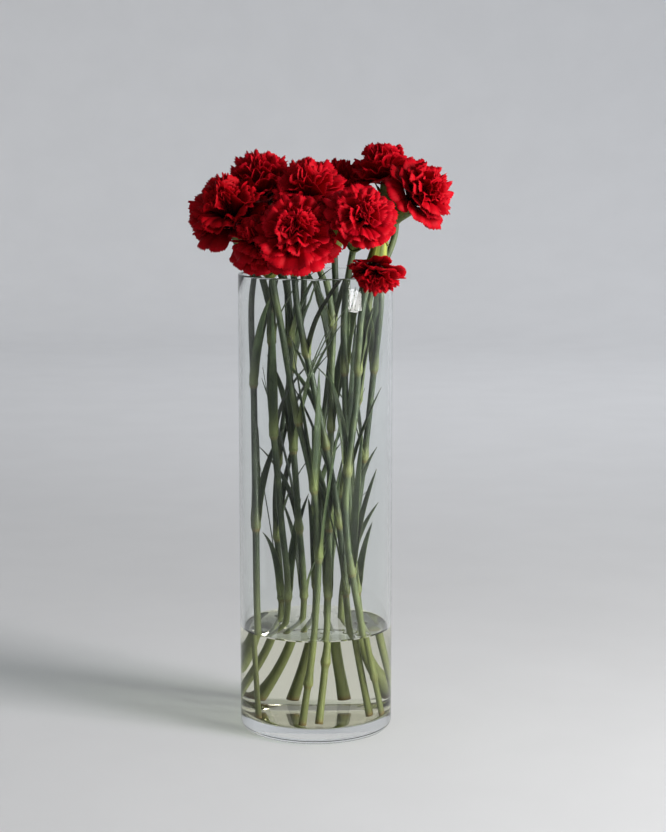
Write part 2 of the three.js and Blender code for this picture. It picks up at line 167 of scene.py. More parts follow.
def solid_of_rings(rings: Array, marks: Array = NO_MARKS, finish: int | Array = 0) -> Patch:
    """A closed surface through rings of points, with a centre point closing each end.

    Args:
        rings: points by ring and place round it, anticlockwise seen from the last ring.
        marks: three numbers by ring and place, or in a shape that spreads out to that.
        finish: which material it takes, or one for each face: the strips from ring to ring,
            then the first end's and the last end's triangles.

    Returns:
        The closed patch.
    """
    count, around = rings.shape[:2]
    marks = np.broadcast_to(marks, rings.shape)
    points = np.concatenate([rings.reshape(-1, 3), rings[[0, -1]].mean(axis=1)])
    all_marks = np.concatenate([marks.reshape(-1, 3), marks[[0, -1]].mean(axis=1)])
    first = np.arange(around)
    last = first + (count - 1) * around
    faces = np.concatenate(
        [
            grid_faces(count, around, closed=True),
            fan(count * around, first[::-1]),
            fan(count * around + 1, last),
        ]
    )
    return Patch(points, faces, all_marks, finish)


def sheet_solids(
    middles: Array, thickness: Array | float, marks: Array, finish: int = 0, ringed: bool = False
) -> Patch:
    """Thin closed solids about middle surfaces, half the thickness to each side along the normal.

    The normal is the cross product of the steps along a row and from row to row. Each solid has
    an upper and a lower face and a strip round its border.

    Args:
        middles: points by sheet, row and column.
        thickness: one number for each of those points, or one for all.
        marks: three numbers for each of those points, or in a shape that spreads out to them.
        finish: which material they take.
        ringed: whether each row is a ring, so that only the first and last row are borders.

    Returns:
        All the sheets as one patch.
    """
    sheets, rows, columns = middles.shape[:3]
    if ringed:
        across = np.roll(middles, -1, axis=2) - np.roll(middles, 1, axis=2)
    else:
        across = np.gradient(middles, axis=2)
    normal = unit(np.cross(across, np.gradient(middles, axis=1)))
    offset = normal * np.broadcast_to(thickness, middles.shape[:-1])[..., None] / 2
    upper = (middles + offset).reshape(sheets, -1, 3)
    lower = (middles - offset).reshape(sheets, -1, 3)
    points = np.concatenate([upper, lower], axis=1)
    size = rows * columns
    number = np.arange(size).reshape(rows, columns)
    if ringed:
        borders = [number[0], number[-1][::-1]]
    else:
        sides = [number[0, :-1], number[:-1, -1], number[-1, :0:-1], number[:0:-1, 0]]
        borders = [np.concatenate(sides)]
    faces = grid_faces(rows, columns, closed=ringed)
    parts = [faces, faces[:, ::-1] + size]
    for near in borders:
        far = np.roll(near, -1)
        parts.append(np.stack([far, near, near + size, far + size], axis=-1))
    one = np.concatenate(parts)
    every = one[None] + (np.arange(sheets) * 2 * size)[:, None, None]
    spread = np.broadcast_to(marks, middles.shape).reshape(sheets, -1, 3)
    return Patch(
        points.reshape(-1, 3),
        every.reshape(-1, 4),
        np.concatenate([spread, spread], axis=1).reshape(-1, 3),
        finish,
    )


def rings_along(path: Array, radii: Array, sides: int) -> Array:
    """Round rings square to a path, their first point towards +X as far as the path lets it.

    Args:
        path: the points of the path.
        radii: one radius for each.
        sides: how many points in a ring.

    Returns:
        Points by ring and place, anticlockwise seen from the path's end.
    """
    along = unit(np.gradient(path, axis=0))
    side = unit(RIGHT - along * along[:, :1])
    forward = np.cross(along, side)
    turn = np.linspace(0, 2 * math.pi, sides, endpoint=False)[None]
    return path[:, None] + spokes(side[:, None], forward[:, None], turn) * radii[:, None, None]


def arc(
    centre: tuple[float, float], radius: float, start: float, end: float, steps: int
) -> Array:
    """Points on an arc in the plane of radius and height, its angles in degrees from outwards.

    Args:
        centre: the radius and height of the arc's centre.
        radius: the arc's own radius.
        start: the first angle.
        end: the last angle.
        steps: how many steps there are between them.

    Returns:
        One radius and height in a row.
    """
    angle = np.radians(np.linspace(start, end, steps + 1))
    return np.array(centre) + radius * np.stack([np.cos(angle), np.sin(angle)], axis=-1)


def turned_rings(profile: Array, sides: int) -> Array:
    """A profile of radii and heights carried round the upright axis.

    Args:
        profile: one radius and height in a row, from the bottom's middle outwards and up.
        sides: how many points in a ring.

    Returns:
        Points by ring and place.
    """
    turn = np.linspace(0, 2 * math.pi, sides, endpoint=False)
    radii, heights = profile[:, :1], profile[:, 1:]
    up = np.broadcast_to(heights, (len(profile), sides))
    return np.stack([radii * np.cos(turn), radii * np.sin(turn), up], axis=-1)


def make_object(
    name: str, patches: list[Patch], materials: list[bpy.types.Material]
) -> bpy.types.Object:
    """Puts patches into one smooth-shaded mesh object at the origin.

    Args:
        name: the piece's name.
        patches: its bits of surface.
        materials: the materials that the patches number.

    Returns:
        The object, linked to the scene.
    """
    starts = np.cumsum([0] + [len(patch.points) for patch in patches[:-1]])
    faces = np.concatenate(
        [
            np.where(patch.faces < 0, -1, patch.faces + start)
            for patch, start in zip(patches, starts, strict=True)
        ]
    )
    finishes = np.concatenate([np.full(len(p.faces), p.finish) for p in patches])
    points = np.concatenate([patch.points for patch in patches])
    corners = faces[faces >= 0]
    counts = (faces >= 0).sum(axis=1)
    mesh = bpy.data.meshes.new(name)
    mesh.vertices.add(len(points))
    mesh.vertices.foreach_set("co", points.astype(np.float32).ravel())
    mesh.loops.add(len(corners))
    mesh.loops.foreach_set("vertex_index", corners.astype(np.int32))
    mesh.polygons.add(len(faces))
    mesh.polygons.foreach_set("loop_start", np.cumsum(counts) - counts)
    mesh.polygons.foreach_set("material_index", finishes.astype(np.int32))
    mesh.update(calc_edges=True)
    mesh.validate()
    mesh.shade_smooth()
    marks = np.concatenate([patch.marks for patch in patches]).astype(np.float32)
    mesh.attributes.new(MARKS, "FLOAT_VECTOR", "POINT").data.foreach_set("vector", marks.ravel())
    for material in materials:
        mesh.materials.append(material)
    piece = bpy.data.objects.new(name, mesh)
    bpy.context.scene.collection.objects.link(piece)
    return piece


def stand_for(piece: bpy.types.Object, node: str) -> None:
    """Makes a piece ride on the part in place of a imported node, and logs it.

    Args:
        piece: the finished piece.
        node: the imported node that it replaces.
    """
    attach(piece, "root")
    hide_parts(node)
    log.info("%s replaces %s with %d faces", piece.name, node, len(piece.data.polygons))


# Materials
def add_node(
    tree: bpy.types.NodeTree, kind: str, inputs: dict | None = None, **settings: object
) -> bpy.types.Node:
    """Adds a node, sets it up and links it.

    Args:
        tree: the material's node tree.
        kind: the node's type.
        inputs: for each input by name or number, a value, or the socket that is linked to it.
        settings: the node's own properties.

    Returns:
        The node.
    """
    node = tree.nodes.new(kind)
    for name, value in settings.items():
        setattr(node, name, value)
    for name, value in (inputs or {}).items():
        if isinstance(value, bpy.types.NodeSocket):
            tree.links.new(value, node.inputs[name])
        else:
            node.inputs[name].default_value = value
    return node


class Recipe:
    """A material in the making: its node tree, and the few kinds of node that all of them use.

    Wherever a method takes a value, it takes a number or colour, or a socket that gives one.
    """

    def __init__(self, name: str) -> None:
        """Starts a material of that name with an empty tree."""
        self.material = bpy.data.materials.new(name)
        self.material.use_nodes = True
        self.tree = self.material.node_tree
        self.tree.nodes.clear()

    def place(self) -> bpy.types.NodeSocket:
        """The place on the object, in metres."""
        return add_node(self.tree, "ShaderNodeTexCoord").outputs["Object"]

    def marks(self) -> tuple[bpy.types.NodeSocket, list[bpy.types.NodeSocket]]:
        """The mesh's marks as one vector, and as three numbers."""
        vector = add_node(self.tree, "ShaderNodeAttribute", attribute_name=MARKS).outputs["Vector"]
        return vector, list(add_node(self.tree, "ShaderNodeSeparateXYZ", {0: vector}).outputs)

    def noise(self, vector: object, scale: float, detail: float) -> bpy.types.NodeSocket:
        """Noise, with that many waves to each unit of the vector."""
        inputs = {"Vector": vector, "Scale": scale, "Detail": detail}
        return add_node(self.tree, "ShaderNodeTexNoise", inputs).outputs["Fac"]

    def stretch(self, vector: object, scale: tuple[float, ...]) -> bpy.types.NodeSocket:
        """A vector multiplied along each axis, so that noise on it is drawn out."""
        inputs = {"Vector": vector, "Scale": scale}
        return add_node(self.tree, "ShaderNodeMapping", inputs).outputs["Vector"]

    def maths(self, operation: str, *values: object) -> bpy.types.NodeSocket:
        """The result of a maths node on some values."""
        inputs = dict(enumerate(values))
        return add_node(self.tree, "ShaderNodeMath", inputs, operation=operation).outputs[0]

    def between(self, value: object, low: float, high: float) -> bpy.types.NodeSocket:
        """A value's place from low, at 0, to high, at 1."""
        return add_node(self.tree, "ShaderNodeMapRange", {0: value, 1: low, 2: high}).outputs[0]

    def colour(self, value: object, stops: list[tuple[float, str]]) -> bpy.types.NodeSocket:
        """The colour at a value on a ramp, whose stops are places from 0 to 1 with sRGB hex."""
        ramp = add_node(self.tree, "ShaderNodeValToRGB", {0: value})
        elements = ramp.color_ramp.elements
        while len(elements) < len(stops):
            elements.new(1.0)
        for element, (place, code) in zip(elements, stops, strict=True):
            element.position = place
            element.color = linear(code)
        return ramp.outputs["Color"]

    def mix(self, share: object, first: object, second: object) -> bpy.types.NodeSocket:
        """A colour that goes from the first to the second."""
        inputs = {"Factor": share, "A": first, "B": second}
        return add_node(self.tree, "ShaderNodeMix", inputs, data_type="RGBA").outputs["Result"]

    def bump(self, height: object, strength: float, distance: float) -> bpy.types.NodeSocket:
        """The normal of a surface that a height raises by up to a distance in metres."""
        inputs = {"Height": height, "Strength": strength, "Distance": distance}
        return add_node(self.tree, "ShaderNodeBump", inputs).outputs["Normal"]

    def principled(self, inputs: dict) -> bpy.types.NodeSocket:
        """A principled shader."""
        return add_node(self.tree, "ShaderNodeBsdfPrincipled", inputs).outputs["BSDF"]

    def clear(self, shade: str) -> bpy.types.NodeSocket:
        """A shader that lets every ray straight through and takes its shade."""
        inputs = {"Color": linear(shade)}
        return add_node(self.tree, "ShaderNodeBsdfTransparent", inputs).outputs["BSDF"]

    def blend(self, share: object, first: object, second: object) -> bpy.types.NodeSocket:
        """A shader that goes from the first to the second."""
        inputs = {0: share, 1: first, 2: second}
        return add_node(self.tree, "ShaderNodeMixShader", inputs).outputs["Shader"]

    def finish(self, shader: bpy.types.NodeSocket) -> bpy.types.Material:
        """Ends the tree in a shader, and returns the material."""
        add_node(self.tree, "ShaderNodeOutputMaterial", {"Surface": shader})
        return self.material

    def finish_clear(self, shader: bpy.types.NodeSocket, shade: str) -> bpy.types.Material:
        """Ends a clear material: rays from lamps and off matt things go straight through.

        Args:
            shader: the clear shader that every other ray meets.
            shade: what one face leaves of a straight ray, as sRGB hex.

        Returns:
            The material.
        """
        path = add_node(self.tree, "ShaderNodeLightPath").outputs
        straight = self.maths("MAXIMUM", path["Is Shadow Ray"], path["Is Diffuse Ray"])
        return self.finish(self.blend(straight, shader, self.clear(shade)))


class Beside(Enum):
    """What lies against a glass face, with the index of refraction of glass against it."""

    AIR = 1.51
    WATER = 1.135


@dataclass(frozen=True)
class SodaLimeGlass:
    """Blown soda-lime glass: clear and smooth, with a faint grey-green cast where it is thick.

    Light from lamps and off matt things goes straight through it, so what stands in it is lit.
    Its gleam is weak where it is seen square on, and full at its edges.
    """

    tint: str = "fafcfb"
    shade: str = "f4f7f6"
    gleam: str = "909090"

    def material(self, beside: Beside) -> bpy.types.Material:
        """The glass, for the faces that lie against air or against water."""
        recipe = Recipe(f"soda_lime_glass_against_{beside.name.lower()}")
        glass = {
            "Base Color": linear(self.tint),
            "Roughness": 0.0,
            "IOR": beside.value,
            "Specular Tint": linear(self.gleam),
            "Transmission Weight": 1.0,
        }
        return recipe.finish_clear(recipe.principled(glass), self.shade)


@dataclass(frozen=True)
class TapWater:
    """Still tap water that has stood with stems in it: clear, with a faint warm cast."""

    tint: str = "fdfdf9"
    side_cast: str = "fdfbf3"
    index: float = 1.333

    def surface(self) -> bpy.types.Material:
        """The water's open surface, which bends and mirrors what is seen in it."""
        recipe = Recipe("tap_water_surface")
        water = {
            "Base Color": linear(self.tint),
            "Roughness": 0.0,
            "IOR": self.index,
            "Transmission Weight": 1.0,
        }
        return recipe.finish_clear(recipe.principled(water), self.tint)

    def side(self) -> bpy.types.Material:
        """Where the water lies against glass: the glass does the bending, so it only tints."""
        recipe = Recipe("tap_water_against_glass")
        return recipe.finish(recipe.clear(self.side_cast))


@dataclass(frozen=True)
class WaxyGreen:
    """The waxy skin of a carnation's green parts: a matt grey-green bloom over fine fibres.

    The marks give how pale a point is, as at a knot or a sheath, how brown it is, as at a cut
    foot, and a number that differs from piece to piece.
    """

    name: str
    dark: str
    body: str
    light: str
    pale: str
    brown: str = "6f5a34"
    sheen: str = "b8ccb8"
    cloud_scale: float = 70.0
    fibre_scale: float = 1600.0
    fibre_draw: tuple[float, float, float] = (1.0, 1.0, 0.045)
    fibre_share: float = 0.35
    piece_share: float = 0.35
    fibre_height: float = 0.4 * MM

    def material(self) -> bpy.types.Material:
        """The skin, its fibres about 0.5 mm apart and drawn out along the piece."""
        recipe = Recipe(self.name)
        place = recipe.place()
        _, (pale, brown, own) = recipe.marks()
        cloud = recipe.noise(place, self.cloud_scale, 3.0)
        fibre = recipe.noise(recipe.stretch(place, self.fibre_draw), self.fibre_scale, 2.0)
        tone = recipe.maths("MULTIPLY_ADD", fibre, self.fibre_share, cloud)
        tone = recipe.maths("MULTIPLY_ADD", own, self.piece_share, tone)
        stops = [(0.0, self.dark), (0.5, self.body), (1.0, self.light)]
        colour = recipe.colour(recipe.between(tone, 0.5, 1.25), stops)
        colour = recipe.mix(pale, colour, linear(self.pale))
        colour = recipe.mix(brown, colour, linear(self.brown))
        skin = {
            "Base Color": colour,
            "Normal": recipe.bump(fibre, 0.25, self.fibre_height),
            "Roughness": 0.5,
            "IOR": 1.4,
            "Specular IOR Level": 0.4,
            "Sheen Weight": 0.05,
            "Sheen Tint": linear(self.sheen),
        }
        return recipe.finish(recipe.principled(skin))


@dataclass(frozen=True)
class PetalVelvet:
    """A carnation petal: thin and matt like velvet, darkened towards its claw as painted shade and
    brightened to its teeth as a painted highlight.

    The marks give the share of the way along the petal, lowered in its creases as painted shade,
    the place across it and the petal's own number. Light comes through it, so it glows where it is
    lit from the far side.
    """

    # The claw and deep colours are painted shade for the bloom's depths, and the edge colour is a
    # painted highlight where the petals catch the light.
    claw: str = "200008"
    deep: str = "66000c"
    body: str = "a8000f"
    edge: str = "b4041a"
    glow: str = "d00008"
    glow_share: float = 0.2
    sheen: str = "ff3a4c"
    vein_fan: tuple[float, float, float] = (1.6, 9.0, 37.0)
    vein_share: float = 0.3
    vein_height: float = 0.8 * MM
    petal_share: float = 0.22
    cloud_scale: float = 110.0
    cloud_share: float = 0.25

    def material(self) -> bpy.types.Material:
        """The petal, its veins about 1.5 mm apart and fanned as the petal is."""
        recipe = Recipe("carnation_petal")
        marks, (along, _, own) = recipe.marks()
        veins = recipe.noise(recipe.stretch(marks, self.vein_fan), 1.0, 2.5)
        cloud = recipe.noise(recipe.place(), self.cloud_scale, 2.0)
        tone = recipe.maths("MULTIPLY_ADD", veins, self.vein_share, along)
        # The petal's own number varies at random, and for blooms in shadow it is lowered as
        # painted shade.
        tone = recipe.maths("MULTIPLY_ADD", own, self.petal_share, tone)
        tone = recipe.maths("MULTIPLY_ADD", cloud, self.cloud_share, tone)
        # The ramp along the petal paints shade at its claw and deep stops and a highlight at its
        # edge stop; only the body stop is the petal's own red.
        stops = [(0.0, self.claw), (0.28, self.deep), (0.62, self.body), (1.0, self.edge)]
        normal = recipe.bump(veins, 0.5, self.vein_height)
        velvet = {
            "Base Color": recipe.colour(recipe.between(tone, 0.3, 1.45), stops),
            "Normal": normal,
            "Roughness": 0.6,
            "IOR": 1.35,
            "Specular IOR Level": 0.16,
            "Sheen Weight": 0.06,
            "Sheen Roughness": 0.35,
            "Sheen Tint": linear(self.sheen),
        }
        light = {"Color": linear(self.glow), "Normal": normal}
        glow = add_node(recipe.tree, "ShaderNodeBsdfTranslucent", light).outputs["BSDF"]
        return recipe.finish(recipe.blend(self.glow_share, recipe.principled(velvet), glow))


@dataclass(frozen=True)
class SweepPaper:
    """Seamless studio paper: matt and pale, with a faint mottle a hand's breadth wide."""

    low: str = "e1e2e3"
    high: str = "e3e4e5"
    mottle_scale: float = 12.0

    def material(self) -> bpy.types.Material:
        """The paper, its mottle about 80 mm across."""
        recipe = Recipe("seamless_paper")
        mottle = recipe.noise(recipe.place(), self.mottle_scale, 2.0)
        colour = recipe.colour(mottle, [(0.35, self.low), (0.65, self.high)])
        paper = {"Base Color": colour, "Roughness": 0.85, "Specular IOR Level": 0.2}
        return recipe.finish(recipe.principled(paper))


# The flowers' plan
class Draw:
    """A small seeded sequence."""

    def __init__(self, seed: int) -> None:
        """Starts the sequence at a seed."""
        self.state = seed

    def __call__(self) -> float:
        """The next number, from 0 to 1."""
        self.state = (self.state * 1664525 + 1013904223) % 4294967296
        return self.state / 4294967296


@dataclass
class Path:
    """A smooth path through points: cubic pieces whose slopes are weighted by their chords."""

    points: Array
    chords: Array = field(init=False)
    slopes: Array = field(init=False)

    def __post_init__(self) -> None:
        """Works out the chords and the slopes at the points."""
        steps = np.diff(self.points, axis=0)
        self.chords = np.linalg.norm(steps, axis=1)
        steps = steps / self.chords[:, None]
        before, after = self.chords[:-1, None], self.chords[1:, None]
        inner = (steps[:-1] * after + steps[1:] * before) / (before + after)
        self.slopes = np.concatenate([steps[:1], inner, steps[-1:]])

    def at(self, piece: int, t: Array | float) -> Array:
        """The points at shares t of one piece of the path."""
        t = np.asarray(t, float)[..., None]
        chord = self.chords[piece]
        return (
            self.points[piece] * (1 + 2 * t) * (1 - t) ** 2
            + self.slopes[piece] * t * (1 - t) ** 2 * chord
            + self.points[piece + 1] * t**2 * (3 - 2 * t)
            + self.slopes[piece + 1] * t**2 * (t - 1) * chord
        )


@dataclass(frozen=True)
class StemSizes:
    """The sizes that all the stems share."""

    radius: float = 2.1 * MM
    foot_radius: float = 2.4 * MM
    knot_radius: float = 3.4 * MM
    knot_half_length: float = 4.5 * MM
    heights: tuple[float, ...] = (11.1 * MM, 68 * MM, 150 * MM, 225 * MM, 284 * MM)
    neck_steps: tuple[float, ...] = (0.0, 0.4, 0.75)
    calyx_radii: tuple[tuple[float, float], ...] = (
        (0.06, 3.4 * MM),
        (0.2, 4.6 * MM),
        (0.6, 5.2 * MM),
        (1.0, 6.2 * MM),
    )
    sample_step: float = 4 * MM


STEM = StemSizes()
HEAD_SHARE = 0.4
HALVINGS = 24


@dataclass
class Flower:
    """One flower: its stem's route from the foot to the rim, its head and its knots.

    Attributes:
        index: its number, from 0.
        route: where the stem passes each of the shared heights, in mm.
        head: the middle of the bloom, in mm.
        facing: which way the bloom faces.
        radius: the bloom's radius.
        knots: the heights of the stem's knots, in mm.
        calyx: the calyx's length.
        crest: a point that a nodding stem passes before its neck, in mm.
        depth: how deep the bloom is, as a share of a full one's depth.
        openness: how far its petals open, as a share of a full one's angles.
        calyx_pale: how yellow-green the calyx is.
        painted_shade: painted shade for a bloom that sits in the shadow of the others: how much
            deeper its red is than the brightest flower's, from 0 to 1.
    """

    index: int
    route: tuple
    head: tuple
    facing: tuple
    radius: float
    knots: tuple
    calyx: float = 25 * MM
    crest: tuple | None = None
    depth: float = 1.0
    openness: float = 1.0
    calyx_pale: float = 0.25
    painted_shade: float = 0.0
    centre: Array = field(init=False)
    ahead: Array = field(init=False)
    base: Array = field(init=False)
    neck: Array = field(init=False)
    path: Path = field(init=False)

    def __post_init__(self) -> None:
        """Places the bloom's base, the neck and the stem's path."""
        self.ahead = unit(np.array(self.facing))
        self.centre = np.array(self.head) * MM
        self.base = self.centre - HEAD_SHARE * self.radius * self.ahead
        self.neck = self.base - self.calyx * self.ahead
        points = [
            (x * MM, y * MM, z) for (x, y), z in zip(self.route, STEM.heights, strict=True)
        ]
        if self.crest:
            points.append(tuple(c * MM for c in self.crest))
        self.path = Path(np.array([*points, self.neck, self.base]))

    @property
    def number(self) -> str:
        """The flower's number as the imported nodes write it."""
        return f"{self.index + 1:02d}"

    def knot_heights(self) -> Array:
        """The knots' heights in metres."""
        return np.array(self.knots) * MM

    def at_height(self, height: float) -> Array:
        """Where the stem reaches a height, found by halving the piece of path that holds it."""
        piece = max(i for i, level in enumerate(STEM.heights) if level <= height)
        low, high = 0.0, 1.0
        for _ in range(HALVINGS):
            middle = (low + high) / 2
            if self.path.at(piece, middle)[2] < height:
                low = middle
            else:
                high = middle
        return self.path.at(piece, low)

    def stations(self) -> tuple[Array, Array]:
        """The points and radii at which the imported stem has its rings."""
        levels = {height: STEM.radius for height in STEM.heights[1:-1]}
        for knot in self.knot_heights():
            near = [h for h in levels if abs(h - knot) < 3 * STEM.knot_half_length]
            for height in near:
                del levels[height]
            levels[knot - STEM.knot_half_length] = STEM.radius
            levels[knot] = STEM.knot_radius
            levels[knot + STEM.knot_half_length] = STEM.radius
        ordered = sorted(levels.items())
        pieces = range(len(STEM.heights) - 1, len(self.path.points) - 2)
        above = [self.path.at(piece, t) for piece in pieces for t in STEM.neck_steps]
        cup = [self.neck + self.ahead * share * self.calyx for share, _ in STEM.calyx_radii]
        points = [self.path.points[0], *(self.at_height(h) for h, _ in ordered)]
        radii = [STEM.foot_radius, *(radius for _, radius in ordered)]
        radii += [STEM.radius] * (len(above) + 1) + [radius for _, radius in STEM.calyx_radii]
        return np.array([*points, *above, self.neck, *cup]), np.array(radii)

    def samples(self) -> tuple[Array, Array]:
        """Points about 4 mm apart along the stem and calyx, with the radius there."""
        points, radii = self.stations()
        spots, rooms = [], []
        for near, far, r0, r1 in zip(points, points[1:], radii, radii[1:]):
            steps = math.ceil(np.linalg.norm(far - near) / STEM.sample_step)
            share = (np.arange(steps)[:, None] + 1) / steps
            spots.append(near + (far - near) * share)
            rooms.append(np.full(steps, max(r0, r1)))
        return np.concatenate(spots), np.concatenate(rooms)

    def sides(self) -> tuple[Array, Array]:
        """The two directions square to the way that the bloom faces."""
        side = unit(RIGHT - self.ahead * self.ahead[0])
        return side, np.cross(self.ahead, side)


# Some flowers are given a deeper red as painted shade, where their blooms sit in the shadow of
# others.
FLOWERS = (
    Flower(
        index=0, route=((-34, -22), (-37, -20), (-38, -19), (-40, -4), (-42, 8)),
        head=(-44, 34, 338), facing=(-0.1, 0.5, 0.86), radius=27 * MM, knots=(137, 228),
    ),
    Flower(
        index=1, route=((-38, 14), (-20, 2), (-23, -12), (-29, -11), (-31, -2)),
        head=(-53, -13, 338), facing=(-0.28, -0.5, 0.82), radius=28.5 * MM, knots=(86, 196, 256),
        painted_shade=1.25,
    ),
    Flower(
        index=2, route=((-8, -38), (-1, -35), (1, -34), (-14, -31), (-25, -14)),
        head=(-32.8, -35.2, 321.5), facing=(-0.15, -0.66, 0.74), radius=22.5 * MM,
        knots=(38, 120, 164, 208), calyx=20 * MM, painted_shade=0.5,
    ),
    Flower(
        index=3, route=((30, -14), (22, -22), (14, -27), (0, -29), (-12, -16)),
        head=(-12, -44, 326), facing=(0.05, -0.75, 0.66), radius=28 * MM,
        knots=(95, 140, 192, 250), painted_shade=0.15,
    ),
    Flower(
        index=4, route=((-21, 36), (-9, 16), (-12, -4), (-17, 0), (-18, 5)), head=(-35, 6, 354),
        facing=(-0.12, -0.3, 0.94), radius=29 * MM, knots=(84, 132, 185, 255), depth=0.95,
        painted_shade=0.1,
    ),
    Flower(
        index=5, route=((2, -34), (7, -24), (9, -14), (10, -4), (9, 1)), head=(-5, -10, 350),
        facing=(-0.06, -0.4, 0.91), radius=27 * MM, knots=(50, 92, 136, 200, 266), depth=0.94,
    ),
    Flower(
        index=6, route=((-9, 40), (-1, 27), (-1, 20), (8, 19), (13, 14)), head=(18, 27, 349),
        facing=(0.15, 0.3, 0.94), radius=25.5 * MM, knots=(88, 134, 186, 245), painted_shade=0.4,
    ),
    Flower(
        index=7, route=((38, 14), (30, 4), (22, -6), (19, -14), (19, -17)), head=(28.5, -50, 338),
        facing=(0.12, -0.8, 0.58), radius=23.5 * MM, knots=(90, 128, 170, 238), depth=0.9,
        calyx_pale=0.35,
    ),
    Flower(
        index=8, route=((10, 40), (7, 31), (17, 30), (30, 22), (36, 11)), head=(44, 10, 364),
        facing=(-0.24, -0.15, 0.96), radius=21.5 * MM, knots=(82, 150, 214, 272), openness=0.84,
    ),
    Flower(
        index=9, route=((26, 32), (17, 24), (29, 14), (37, 6), (42, -5)), head=(66, -15, 350),
        facing=(0.7, -0.4, 0.6), radius=24 * MM, knots=(60, 121, 177, 237), painted_shade=0.25,
    ),
    Flower(
        index=10, route=((39, -14), (30, -27), (19, -36), (26, -30), (30, -28)),
        head=(37.5, -44.5, 303.2), facing=(-0.15, -0.42, -0.89), radius=19 * MM,
        knots=(38, 110, 176, 240), calyx=17 * MM, crest=(39, -24, 319), depth=0.78, calyx_pale=0.9,
        painted_shade=1.1,
    ),
    Flower(
        index=11, route=((-33, 27), (-24, 22), (-27, 19), (-18, 26), (-8, 24)),
        head=(-12, 40, 340), facing=(-0.1, 0.45, 0.89), radius=26 * MM, knots=(80, 122, 172, 235),
    ),
)


# Leaves
@dataclass
class Leaf:
    """A narrow leaf that rises from a knot and bends outwards.

    Attributes:
        owner: its flower's number.
        base: where it leaves the stem's axis.
        out: the level direction it leans in.
        length: its length along the curve.
        bend: the angle from upright at its tip, in radians.
    """

    owner: int
    base: Array
    out: Array
    length: float
    bend: float

    rise: ClassVar[float] = math.radians(8)

    def line(self, t: Array) -> tuple[Array, Array]:
        """The middle line at shares t, with the angle from upright there.

        The angle turns evenly from the rise to the bend, so the line is an arc: its way out is
        the length over the turn times the fall in cosine, and its way up the gain in sine.
        """
        turn = self.bend - self.rise
        angle = self.rise + turn * t
        out = self.length * (math.cos(self.rise) - np.cos(angle)) / turn
        up = self.length * (np.sin(angle) - math.sin(self.rise)) / turn
        return self.base + out[:, None] * self.out + up[:, None] * UP, angle


